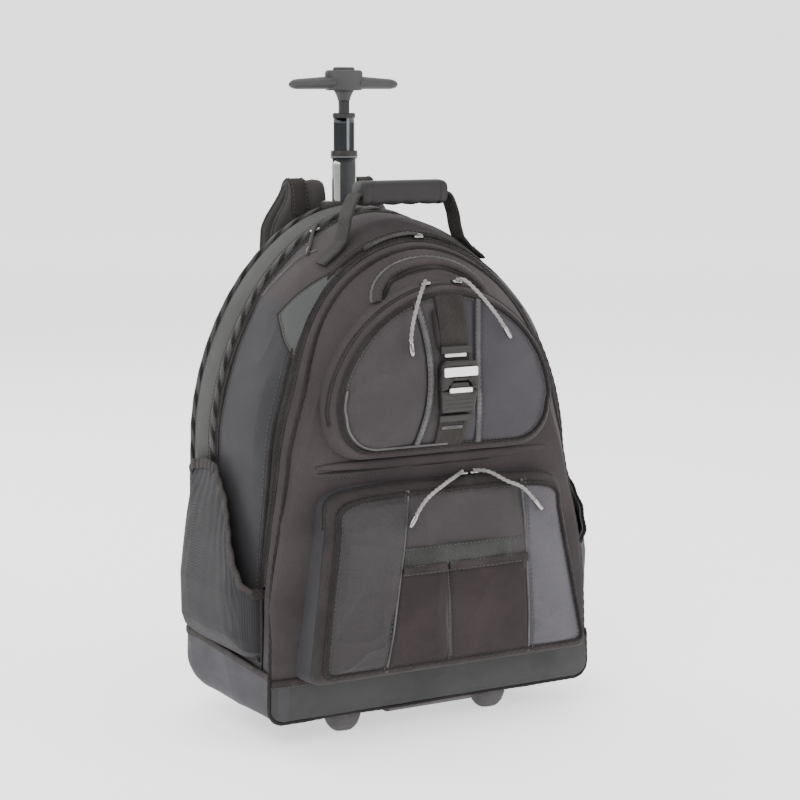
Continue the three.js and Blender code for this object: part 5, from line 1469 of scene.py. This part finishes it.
def harness_line():
    """A strap's middle line: up from the pad, over a fold at the top, and out and down to the adjuster."""
    inner = BACK + FIT + 0.005
    outer = BACK + 0.009 + 3 * FIT + 0.005
    fold = HARNESS_TOP - 0.005 + 0.0062
    pad_top, foot, bow, middle = 0.428, 0.205, 0.013, 0.039
    return spline([
        (middle, inner, pad_top + 0.006), (middle, inner + 0.0005, mix(pad_top, fold, 0.55)),
        (middle, inner + 0.0025, fold - 0.012), (middle, inner + 0.0085, fold - 0.0015),
        (middle + 0.001, inner + 0.016, fold - 0.012), (middle + 0.003, outer + bow * 0.8, mix(pad_top, fold, 0.4)),
        (middle + 0.009, outer + bow, mix(foot, pad_top, 0.7)),
        (middle + 0.018, outer + bow * 0.7, mix(foot, pad_top, 0.35)),
        (middle + 0.024, outer + 0.001, foot + 0.020), (middle + 0.024, outer + 0.001, foot),
    ], 260)


def harness(hand, name):
    """A padded strap: a tapering superellipse section with two quilting channels, bound edges and a tape on top."""
    line = harness_line() * [hand, 1, 1]
    t = np.linspace(0, 1, len(line))
    half = 0.030 * mix(1, 0.8, smooth(t))
    a = (np.arange(44) + 0.5) / 44 * 2 * np.pi
    c, s = np.cos(a), np.sin(a)
    u = np.sign(c) * np.abs(c) ** 0.5
    sink = 1 - 0.30 * (bump(np.abs(u), 0.5, 0.10))
    v = 0.0048 * np.sign(s) * np.abs(s) ** 0.6 * sink
    close = np.sqrt(clamp(1 - clamp(1 - np.minimum(t, 1 - t) / 0.03) ** 2))[:, None]
    across = np.array([1.0, 0, 0])
    out = np.cross(tangents(line), across)
    side, up = frames(line, out)
    draw = 0.66 * smooth((line[:, 2] - HARNESS_TOP + 0.050) / 0.048)[:, None]
    wide = u[None] * half[:, None] * (1 - draw * (u[None] * side[:, :1] * hand > 0))
    section = np.stack([wide, v[None] * np.maximum(close, 0.25)], -1)
    pad = sweep("harness_pad_" + name, line, out, section, [HARNESS_CLOTH])
    parts = [pad]
    for edge in (-1, 1):
        inset = 1 - draw[:, 0] * (edge * side[:, 0] * hand > 0)
        path = line + side * (edge * (half + 0.0002) * inset)[:, None]
        parts.append(cord(f"harness_binding_{name}_{edge + 1}", path[3:-3], up[3:-3], 0.0017, GREY_WEBBING, 8))
    top = up if (up[200] * [0, 1, 0]).sum() > 0 else -up
    tape_path = (line + top * 0.0050)[30:-6]
    tape_section = oval(0.0095, 0.0009, 0.5, 14)
    parts.append(sweep("harness_tape_" + name, tape_path, top[30:-6], tape_section, [BLACK_WEBBING]))
    for edge in (-1, 1):
        path = tape_path + side[30:-6] * edge * 0.0075 + top[30:-6] * 0.0010
        parts.append(stitches(f"harness_stitches_{name}_{edge + 1}", path, top[30:-6]))
    body_piece(*parts, nodes=["harness_" + name])


def back_surface(x, z, lift=0.0):
    """The back of the body near its side edge: flat to 22 mm from the outline, then a quarter round."""
    x, z = np.broadcast_arrays(np.asarray(x, float), np.asarray(z, float))
    half = np.interp(z, [FOOT, SPRING], [BODY_HALF, SPRING_HALF])

    def depth(u, v):
        inset = np.maximum(np.abs(u) - (half - BACK_EDGE), 0)
        side = BACK_EDGE - np.sqrt(np.maximum(BACK_EDGE**2 - inset**2, 0))
        low_down = np.maximum(0.078 - v, 0)
        return BACK - side - 0.4 * low_down

    e = 0.0015
    slope = (depth(x + e, z) - depth(x - e, z)) / (2 * e)
    n = unit(np.stack([-slope, np.ones_like(x), np.zeros_like(x)], -1))
    return np.stack([x, depth(x, z), z], -1) + n * np.asarray(lift)[..., None], n


def strap_ends(hand, name):
    """The webbing under each shoulder strap, its adjuster and the sewn tab at the foot of the back."""
    top = low("ladder_left")[2] - FIT
    web_y = BACK + 0.009 + 2 * FIT + 0.001
    end_y = BACK + 0.003 + 5 * FIT + 0.001
    path = spline([(0.063, web_y, top), (0.063, web_y, top - 0.006), (0.0878, web_y + 0.001, mix(top, 0.112, 0.55)),
                   (0.120, web_y, 0.116), (0.127, end_y, 0.106), (0.132, end_y, 0.090)], 120) * [hand, 1, 1]
    out = np.cross(tangents(path), np.array([1.0, 0, 0]))
    web = sweep("webbing_tape_" + name, path, out, oval(0.0118, 0.0009, 0.45, 18), [BLACK_WEBBING])
    body_piece(web, slot="webbing", nodes=["webbing_" + name])
    lo, hi = low("ladder_" + name), high("ladder_" + name)
    middle = (lo + hi) / 2
    bars = []
    for i, x in enumerate((lo[0] + 0.0018, hi[0] - 0.0018)):
        rail = np.linspace([x, middle[1], lo[2] + 0.0015], [x, middle[1], hi[2] - 0.0015], 20)
        bars.append(sweep(f"ladder_rail_{i}", rail, [0, 1, 0], oval(0.0018, 0.0029, 0.6, 14), [PLASTIC]))
    for i, z in enumerate((lo[2] + 0.0022, middle[2], hi[2] - 0.0022)):
        rung = np.linspace([lo[0] + 0.001, middle[1], z], [hi[0] - 0.001, middle[1], z], 24)
        bars.append(sweep(f"ladder_rung_{i}", rung, [0, 1, 0], oval(0.0022, 0.0026, 0.7, 14), [PLASTIC]))
    frame_piece = join("ladder_frame_" + name, bars)
    body_piece(frame_piece, slot="plastic", nodes=["ladder_" + name])
    corners = np.array([(0.1615, 0.0795), (0.1185, 0.0860), (0.1185, 0.1070), (0.1615, 0.1350)]) * [hand, 1]
    tab = tablet("tab_cloth_" + name, outline_of(corners, 0.004), back_surface, 0.0004, 0.0028, 0.0012,
                 HARNESS_CLOTH, 10)
    box = np.array([(0.1240, 0.0880), (0.1560, 0.0840), (0.1560, 0.1270), (0.1240, 0.1060), (0.1240, 0.0880)])
    seam = resample(box * [hand, 1], 80)
    points, ups = back_surface(seam[:, 0], seam[:, 1], 0.0034)
    row = stitches("tab_stitches_" + name, points, ups)
    body_piece(tab, row, nodes=["tab_" + name])


# Pull handle


def oval_stack(name, rows, materials, region=None, sides=72, power=1.0, closed=True, centre=(0.0, None)):
    """Oval rings at heights: rows are (half width, half depth, z), joined in order into a closed skin."""
    a = np.arange(sides) / sides * 2 * np.pi
    c, s = np.cos(a), np.sin(a)
    rows = np.asarray(rows, float)
    y0 = POLE_Y if centre[1] is None else centre[1]
    x = centre[0] + rows[:, :1] * np.sign(c) * np.abs(c) ** power
    y = y0 + rows[:, 1:2] * np.sign(s) * np.abs(s) ** power
    points = np.stack([x, y, rows[:, 2:] + 0 * x], -1)
    if closed:
        points = np.concatenate([points, points[:1]])
    points = np.concatenate([points, points[:, :1]], 1)
    pick = None
    if region is not None:
        pick = region(points)
    return weld(grid(name, points, materials, region=pick), recalc=True)


def tube_rows(half_width, half_depth, foot, top, wall, collar, proud):
    """An oval tube with a collar at its top whose edges are rounded."""
    w, d, r = half_width, half_depth, 0.0008
    step = [(w, d, z) for z in np.linspace(foot, top, 60)]
    c = collar
    outer = step + [(w + proud - r, d + proud - r, top), (w + proud, d + proud, top + r),
                    (w + proud, d + proud, top + c - r), (w + proud - r, d + proud - r, top + c),
                    (w - wall, d - wall, top + c)]
    return outer + [(w - wall, d - wall, foot)]


def pull_handle():
    """The sliding tubes: oval rings up to a rounded collar, with a painted dark reflection down the lower tube's
    front and a painted highlight line down the middle tube's front.
    """
    one_top = high("stage_one")[2] - 0.008
    # Region 1, the middle of the front, is a painted dark reflection between the bright edges.
    one = oval_stack("stage_one_tube", tube_rows(0.013, 0.009, low("stage_one")[2], one_top, 0.0012, 0.008, 0.0011),
                     [BRIGHT_TUBE, PAINTED_DARK_REFLECTION, PLASTIC], lambda p: np.where(
                         p[..., 2] > one_top - 0.0005, 2, np.where((np.abs(p[..., 0]) < 0.0085), 1, 0)))
    body_piece(one, body="pole_lower", slot="aluminium", nodes=["stage_one"])
    ring = oval_stack("collar_ring", [(0.0144, 0.0104, one_top + 0.0012), (0.0147, 0.0107, one_top + 0.0018),
                                      (0.0144, 0.0104, one_top + 0.0024), (0.0139, 0.0099, one_top + 0.0018)],
                      [PALE_RING_AND_PAINTED_HIGHLIGHT])
    body_piece(ring, body="pole_lower", slot="aluminium")
    two_top = high("stage_two")[2] - 0.005
    w, d = 0.0113, 0.0073
    rows = [(w, d, z) for z in np.linspace(low("stage_two")[2], two_top, 60)]
    rows += [(w + 0.0006, d + 0.0006, two_top), (w + 0.0008, d + 0.0008, two_top + 0.0006),
             (w + 0.0008, d + 0.0008, two_top + 0.0042), (w, d, two_top + 0.005), (0.006, 0.006, two_top + 0.005),
             (0.006, 0.006, two_top), (w - 0.0012, d - 0.0012, two_top - 0.0002),
             (w - 0.0012, d - 0.0012, low("stage_two")[2])]
    # Region 1, a thin strip down the middle of the front, is a painted highlight.
    two = oval_stack("stage_two_tube", rows, [DARK_TUBE, PALE_RING_AND_PAINTED_HIGHLIGHT, PLASTIC], lambda p: np.where(
        p[..., 2] > two_top - 0.0004, 2, np.where((np.abs(p[..., 0]) < 0.0016) & (p[..., 2] < two_top), 1, 0)))
    body_piece(two, body="pole_middle", slot="dark_tube", nodes=["stage_two"])


def tee_handle():
    """The grip: wings that thin out from the hub to round ends, an oval hub, a flared neck and the rod below."""
    lo, hi = low("tee_handle"), high("tee_handle")
    foot = hi[2] - 0.020
    out = mix(0.22, 1, np.sin(np.linspace(0, np.pi / 2, 70)))
    out = np.concatenate([out[:1], out])
    end = np.sqrt(np.maximum(1 - clamp((out - 0.85) / 0.15) ** 2, 0))
    end[0] = 0
    a = np.arange(48) / 48 * 2 * np.pi
    tall = (mix(0.014, 0.0095, out) / 2 * end)[:, None] * np.sin(a)
    deep = (mix(0.022, 0.015, out) / 2 * end)[:, None] * np.cos(a)
    level = foot + 0.0012 + mix(0.014, 0.0095, out)[:, None] / 2
    wings = []
    for hand, name in ((-1, "left"), (1, "right")):
        points = np.stack([hand * out[:, None] * 0.061 + 0 * tall, POLE_Y + deep, level + tall], -1)
        wing = grid("tee_wing_" + name, np.concatenate([points, points[:, :1]], 1), [TEE_PLASTIC])
        wings.append(weld(wing, recalc=True))
    hub_top = hi[2]
    hub = oval_stack("tee_hub", [
        (0.001, 0.001, foot), (0.0180, 0.0105, foot), (0.0197, 0.0118, foot + 0.0012),
        (0.0200, 0.0120, foot + 0.003), (0.0200, 0.0120, hub_top - 0.0028),
        (0.0192, 0.0113, hub_top - 0.0008), (0.0176, 0.0100, hub_top),
        (0.0126, 0.0071, hub_top), (0.0124, 0.0069, hub_top - 0.0010), (0.0123, 0.0068, hub_top - 0.0095),
        (0.001, 0.001, hub_top - 0.0095)], [TEE_PLASTIC], power=0.9)
    neck_foot = foot - 0.010
    neck = oval_stack("tee_neck", [
        (0.001, 0.001, neck_foot), (0.0058, 0.0058, neck_foot), (0.0064, 0.0064, neck_foot + 0.0006),
        (0.0067, 0.0066, neck_foot + 0.003), (0.0088, 0.0078, neck_foot + 0.0075), (0.0110, 0.0090, foot + 0.0006),
        (0.001, 0.001, foot + 0.001)], [TEE_PLASTIC])
    rod = oval_stack("tee_rod", [
        (0.001, 0.001, lo[2]), (0.0050, 0.0050, lo[2]), (0.0055, 0.0055, lo[2] + 0.0006),
        (0.0055, 0.0055, neck_foot + 0.0005), (0.001, 0.001, neck_foot + 0.0006)], [TEE_PLASTIC], sides=40)
    body_piece(*wings, hub, neck, body="handle", slot="grip_plastic", nodes=["tee_handle"])
    body_piece(rod, body="handle", slot="dark_tube")
    top = high("release_button")[2]
    button = oval_stack("button_cap", [
        (0.001, 0.001, top - 0.007), (0.0116, 0.0061, top - 0.007), (0.0119, 0.0064, top - 0.0065),
        (0.0119, 0.0064, top - 0.0016), (0.0112, 0.0057, top - 0.0004), (0.0095, 0.0042, top),
        (0.0050, 0.0020, top - 0.0004), (0.001, 0.001, top - 0.0005)], [BUTTON_PLASTIC])
    body_piece(button, body="button", slot="plastic", nodes=["release_button"])


def bezel():
    """The surround of the pull handle: oval rings over its rounded rim and down inside, and two screws."""
    top = high("bezel")[2]
    rows = [(0.0268, 0.0132, top - 0.0125), (0.0270, 0.0134, top - 0.0030), (0.0262, 0.0126, top - 0.0008),
            (0.0245, 0.0118, top), (0.0168, 0.0125, top), (0.0160, 0.0118, top - 0.0006),
            (0.0155, 0.0115, top - 0.003), (0.0155, 0.0115, top - 0.0125)]
    ring = oval_stack("bezel_ring", rows, [PLASTIC])
    screws = []
    for i, x in enumerate((-0.0212, 0.0212)):
        screws.append(oval_stack(f"bezel_screw_{i}", [
            (0.0003, 0.0003, top - 0.001), (0.0024, 0.0024, top - 0.001), (0.0024, 0.0024, top + 0.0004),
            (0.0018, 0.0018, top + 0.0009), (0.0003, 0.0003, top + 0.0006)], [PULL_METAL], sides=20,
            centre=(x, POLE_Y)))
    body_piece(ring, *screws, slot="plastic", nodes=["bezel"])


# Wheels and feet


def wheel(name):
    """A turned wheel: a grooved rubber tread, and a plastic hub with six hollows between its spokes."""
    node = "wheel_" + name
    middle = (low(node) + high(node)) / 2
    radius, half = 0.032, 0.012
    u = np.linspace(-1, 1, 61)
    grooves = 0.0010 * (np.cos(u * 19) > 0.75) * (np.abs(u) < 0.62)
    tread_r = radius - 0.0038 * clamp((np.abs(u) - 0.70) / 0.30) ** 2 - grooves
    profile = [(0.0046, -half + 0.001), (0.021, -half + 0.001), (0.0225, -half + 0.0006), (0.0232, -half),
               (0.027, -half)]
    profile += list(zip(tread_r, u * half))
    profile += [(r, -h) for r, h in reversed(profile[:5])] + [(0.0046, -half + 0.001)]
    profile = np.array(profile)
    a = np.linspace(0, 2 * np.pi, 181)[:-1]
    r, h = profile[:, :1], profile[:, 1:] + 0 * a
    blocks = 0.0008 * (np.cos(a * 36)[None] > 0.55) * (np.abs(profile[:, 1:]) > half * 0.66) * (r > 0.029)
    x = middle[0] + h
    points = np.stack([x, middle[1] + (r - blocks) * np.cos(a), middle[2] + (r - blocks) * np.sin(a)], -1)
    points = np.concatenate([points, points[:, :1]], 1)
    body = weld(grid("wheel_body_" + name, points, [RUBBER, WHEEL_PLASTIC],
                     region=np.where(r + 0 * a < 0.0232, 1, 0)), recalc=True)
    caps = []
    for i, side in enumerate((-1, 1)):
        radii = np.linspace(0.0070, 0.0205, 26)[:, None]
        spoke = smooth((np.cos(a * 6)[None] + 0.25) * 2.2)
        rim = smooth(np.minimum(radii - 0.0070, 0.0205 - radii) / 0.0018)
        depth = 0.0008 - 0.0016 * rim * (1 - spoke)
        face = np.stack([middle[0] + side * (half - 0.0011 + depth + 0.0006), middle[1] + radii * np.cos(a),
                         middle[2] + radii * np.sin(a)], -1)
        face = np.concatenate([face, face[:, :1]], 1)
        caps.append(grid(f"wheel_spokes_{name}_{i}", face, [WHEEL_PLASTIC], inner=middle, merge=True, wall=0.0008))
    body_piece(body, *caps, body="wheel_" + name[0], slot="rubber", nodes=[node])


def foot(name):
    """A foot: oval rings that widen from half its size to all of it at the top, with shallow grooves."""
    node = "foot_" + name
    lo, hi = low(node), high(node)
    middle, half = (lo + hi) / 2, (hi - lo) / 2
    t = np.linspace(0, 1, 40)
    share = np.interp(t, [0, 0.08, 0.25, 0.55, 1], [0.5, 0.64, 0.82, 0.97, 1])
    share = share - 0.012 * (np.cos(t * 60) > 0.6) * (t > 0.5)
    rows = [(0.001, 0.001, lo[2])] + [(half[0] * s, half[1] * s, mix(lo[2], hi[2], v)) for s, v in zip(share, t)]
    rows += [(0.001, 0.001, hi[2])]
    piece = oval_stack("foot_block_" + name, rows, [RUBBER], power=0.7, centre=(middle[0], middle[1]))
    body_piece(piece, slot="rubber", nodes=[node])


# Zip pulls


def zip_pull(name, node, seat, hang, up, slide, finish=PULL_CORD):
    """A slider body over the zip, and a twisted cord with a moulded end that hangs along its path."""
    seat = np.asarray(seat, float)
    path = spline(seat + np.asarray(hang) / 1000, 120)
    up = unit(np.asarray(up, float))
    slide = unit(np.asarray(slide, float))
    across = np.cross(slide, up)
    body_line = seat + np.linspace(-0.0052, 0.0052, 16)[:, None] * slide + up * 0.0032
    width = np.array([0.5, 0.8, 0.95, 1, 1, 0.96, 0.9, 0.86, 0.86, 0.9, 0.96, 1, 1, 0.95, 0.8, 0.5])
    slider = sweep("slider_" + name, body_line, up, oval(0.0038, 0.0017, 0.6, 16), [PULL_METAL],
                   scale=width)
    reach = length_of(path)
    cut = int(len(path) * (1 - 0.012 / reach))
    shown = path[: cut + 2]
    body_cord = rope("pull_cord_" + name, shown, across + 0 * shown, 0.0017, finish, 0.0052, 0.2)
    tip = resample(path[cut - 4 :], 24)
    girth = np.sqrt(clamp(1 - (np.linspace(-1, 1, 24) * 0.98) ** 4))
    end = sweep("pull_end_" + name, tip, across, oval(0.0024, 0.0021, 0.8, 16),
                [PULL_METAL if finish is PULL_CORD else PLASTIC], scale=np.maximum(girth, 0.3))
    body_piece(body_cord, slider, end, slot="pull_metal", nodes=[node])
    length_of(shown)


def arch_height(x, spring_half, spring, rise, power):
    """z = spring + rise (1 - |x / half|^p)^(1 / p)."""
    return spring + rise * (1 - (abs(x) / spring_half) ** power) ** (1 / power)


def zip_pulls():
    """The pulls, each on its zip's line. The points they hang along are in mm from the seat."""
    dome = lambda x: (x, UPPER_ZIP, arch_height(x, 0.122, 0.312, 0.114, ARCH_POWER))
    box = lambda x: (x, LOWER_ZIP, arch_height(x, 0.128, 0.213, 0.030, 5))
    zip_pull("upper_left", "pull_upper_left", dome(-0.018), [
        (0, -0.5, 5.3), (-7, -10.5, 4.8), (-18, -19.5, -8.2), (-27, -24.5, -28.2), (-31, -27, -46.2),
        (-30, -28.5, -60.2)], (0, 0, 1), (1, 0, 0.1))
    zip_pull("upper_right", "pull_upper_right", dome(0.016), [
        (0, -0.5, 5), (4, -10.5, 4.5), (16, -20.5, -10.5), (32, -24, -30.5), (46, -23.5, -50.5)],
        (0, 0, 1), (1, 0, -0.1))
    zip_pull("lower_left", "pull_lower_left", box(0.022), [
        (0, 0, 5), (-12, -11, 4.5), (-34, -21, -2), (-56, -25.5, -14), (-74, -27.5, -37)], (0, 0, 1), (1, 0, 0))
    zip_pull("lower_right", "pull_lower_right", box(0.034), [
        (0, 0, 5), (10, -11, 4.5), (24, -21, -4), (42, -24.5, -13), (62, -26, -35)], (0, 0, 1), (1, 0, 0))

    def seat(x, y):
        z = arch_height(x, SPRING_HALF, SPRING, RISE, ARCH_POWER)
        return body_shape(np.array([x, z]), np.array(y))

    zip_pull("rear", "pull_rear", seat(-0.060, REAR_ZIP), [
        (0, 0, 6.4), (-6, -6, 3.4), (-14, -16, -3.6), (-21, -26, -10.6), (-28, -35, -18.6)],
        (-0.35, 0, 1), (1, 0, 0.35), SHADED_CORD)
    zip_pull("front", "pull_front", seat(0.006, FRONT_ZIP + FRONT_ZIP_LEAN), [
        (0, 0, 5.2), (-12, 1, 5.7), (-28, 2, 3.2), (-44, 2, -1.8), (-58, 1, -8.3)],
        (0, -0.3, 1), (1, 0, 0), SHADED_CORD)


# Everything on the body


def corner_line_y(z):
    """The second corded line in front of the front zip, down to the front edge."""
    near_foot = np.interp(z, [0.030, 0.105, 0.200, 0.280, 0.330],
                          [FRONT + 0.001, FRONT + 0.0012, FRONT + 0.006, FRONT + 0.0095, FRONT + 0.0090])
    return np.where(z < 0.330, near_foot, front_zip_y(z) - 0.0100)


def body_and_trim():
    """The three body panels with their zips, piping, thread, patches and the yoke's light edges."""
    rear, gusset, front = rear_shell(), main_gusset(), front_shell()
    for piece, node, slot, fill in ((rear, "rear_shell", "cloth_grey", 0.6),
                                    (gusset, "main_gusset", "cloth_grey", 0.5),
                                    (front, "front_shell", "cloth_dark", 0.5)):
        body_piece(piece, slot=slot, nodes=[node])
    body_piece(zip_over_body("rear_zip_run", lambda z: REAR_ZIP + 0 * z, ZIP_END), nodes=["rear_zip"])
    body_piece(zip_over_body("front_zip_run", front_zip_y, ZIP_END), nodes=["front_zip"])
    low_end = TRAY_SIDE + 0.002

    def behind_rear_zip(reach):
        return lambda z: REAR_ZIP + reach + 0 * z

    def behind_front_zip(reach):
        return lambda z: front_zip_y(z) + reach

    lines = [piping_over_body(name, y_of, end, radius, finish, lift, pitch, depth, second)
             for name, y_of, end, radius, finish, lift, pitch, depth, second in (
        ("rear_zip_rope", behind_rear_zip(0.0062), low_end, 0.0036, GREY_ROPE, 0.0012, 0.023, 0.05, DARK_ROPE),
        ("rear_zip_cord", behind_rear_zip(-0.0052), low_end, 0.0018, DARK_ROPE, 0.0008, 0.010, 0.10, None),
        ("back_edge_rope", lambda z: BACK - 0.017 + 0 * z, low_end, 0.0030, GREY_ROPE, 0.0008, 0.026, 0.05,
         DARK_ROPE),
        ("front_zip_cord", behind_front_zip(0.0055), low_end, 0.0019, DARK_ROPE, 0.0008, 0.009, 0.10, None),
        ("front_corner_cord", corner_line_y, 0.068, 0.0021, DARK_ROPE, 0.0008, 0.009, 0.10, None))]
    body_piece(*lines)
    rows = []
    reach = over_at_height(low_end)
    over = np.linspace(-reach, reach, 500)
    z = outline_at(over)[:, 1]
    for i, (surface, y_of, lift) in enumerate(((on_body, behind_rear_zip(0.0125), 0.0034),
                                               (on_gusset, behind_rear_zip(-0.0100), 0.0004),
                                               (on_gusset, behind_front_zip(0.0100), 0.0004))):
        path, out = surface(over, y_of(z), lift)
        rows.append(stitches(f"body_stitches_{i}", path, out))
    body_piece(*rows)
    for hand, name in ((-1, "left"), (1, "right")):
        corners = np.array([(0.082, -0.0455), (0.163, -0.0235), (0.190, -0.0625), (0.150, -0.0590)]) * [hand, 1]
        parts = body_patch("lens_" + name, corners, PATCH_CLOTH, 0.0006)
        body_piece(*parts, slot="cloth_light")
        seam = np.array([(0.086, -0.006), (0.098, 0.006), (0.120, 0.013), (0.150, 0.023)]) * [hand, 1]
        path, out = on_gusset(*spline(seam, 90).T, 0.0004)
        body_piece(cord("yoke_light_edge_" + name, path, out, 0.0010, LIGHT_BINDING, 8), slot="cloth_light")


def divider():
    """A padded sheet: the body's ring at one depth, drawn in to its middle."""
    y = (low("divider")[1] + high("divider")[1]) / 2 - 0.0013
    ring = body_shape(OUTLINE[::4], np.full(len(OUTLINE[::4]), y))
    centre = np.array([0, y, 0.27])
    share = np.linspace(0.965, 0, 30)
    points = centre + (ring[:, None] - centre) * share[None, :, None]
    pad = grid("divider_pad", points, [SLIP_CLOTH], around=True, inner=np.array([0, y - 1, 0.2]), wall=0.0026)
    body_piece(pad, nodes=["divider"])


def dress(node, finish):
    """Gives a CAD node that stays its material."""
    piece = bpy.data.objects[node]
    for slot in piece.material_slots:
        slot.material = finish


def stage():
    """A pale floor that curves up behind, soft lights and the photograph's camera."""
    t = np.linspace(0, 1, 120)
    run = np.where(t < 0.5, -5 + t * 22, 6.0 + 3.0 * np.sin(clamp((t - 0.5) / 0.2) * np.pi / 2))
    bend = 3.0 * (1 - np.cos((t - 0.5) / 0.2 * np.pi / 2))
    rise = np.where(t < 0.5, 0, np.where(t < 0.7, bend, 3.0 + (t - 0.7) * 12))
    x = np.linspace(-9, 9, 40)
    points = np.stack([x[None] + 0 * t[:, None], run[:, None] + 0 * x, rise[:, None] + 0 * x], -1)
    turn = math.radians(30.4)
    spin = np.array([[math.cos(turn), math.sin(turn), 0], [-math.sin(turn), math.cos(turn), 0], [0, 0, 1]])
    paper = Finish("pale paper", 0.9, specular=0.1)
    cloudy = paper.noise(paper.coords(False), 3.0, 2.0)
    paper.base(paper.blend(cloudy, (0.95, 0.95, 0.95, 1), (0.97, 0.97, 0.97, 1)))
    paper.shader.inputs["Emission Color"].default_value = (1, 1, 1, 1)
    paper.shader.inputs["Emission Strength"].default_value = 1.0
    floor = grid("floor_sweep", points @ spin.T, [paper.material])

    def light(name, where, at, size, power):
        lamp = bpy.data.lights.new(name, "AREA")
        lamp.shape = "RECTANGLE"
        lamp.size, lamp.size_y = size
        lamp.energy = power
        piece = bpy.data.objects.new(name, lamp)
        piece.location = where
        piece.rotation_euler = (Vector(at) - Vector(where)).to_track_quat("-Z", "Y").to_euler()
        bpy.context.scene.collection.objects.link(piece)

    light("key light", (-1.9, -1.6, 2.3), (0, 0, 0.25), (1.8, 1.8), 52)
    light("fill light", (1.8, -1.9, 1.3), (0, 0, 0.3), (2.0, 1.6), 30)
    light("top light", (0.2, 0.3, 2.8), (0, 0, 0.3), (2.2, 2.2), 34)
    light("back light", (-0.6, 2.0, 1.6), (0, 0, 0.4), (2.0, 1.2), 24)
    world = bpy.data.worlds.new("studio air")
    world.use_nodes = True
    world.node_tree.nodes["Background"].inputs[0].default_value = (1, 1, 1, 1)
    world.node_tree.nodes["Background"].inputs[1].default_value = 0.85
    bpy.context.scene.world = world
    lens = bpy.data.cameras.new("camera")
    lens.lens, lens.sensor_width = 99.9, 36
    camera = bpy.data.objects.new("camera", lens)
    camera.location = (-1.0756, -1.8578, 0.6103)
    camera.rotation_euler = (math.radians(90 - 8.1), 0, math.radians(-30.4))
    bpy.context.scene.collection.objects.link(camera)
    bpy.context.scene.camera = camera


body_and_trim()
dome_pocket()
dome_trims()
lower_pocket()
slip_pockets()
dome_shadow_seam()
stash_hood()
face_strap("strap_upper_tape", STRAP_SPLIT + 0.0006, 0.418, "strap_upper", 0.0004)
face_strap("strap_lower_tape", 0.275, STRAP_SPLIT, "strap_lower", 0.0006)
buckle()
base_tray()
side_pocket(-1, "left", POCKET_MESH)
side_pocket(1, "right", LIGHT_MESH)
carry_handle()
back_pad()
for hand, name in ((-1, "left"), (1, "right")):
    harness(hand, name)
    strap_ends(hand, name)
    wheel(name)
    foot(name)
    dress("housing_" + name, WHEEL_PLASTIC)
pull_handle()
tee_handle()
bezel()
dress("guide_tube", DARK_TUBE)
dress("skid", RUBBER)
divider()
zip_pulls()
stage()
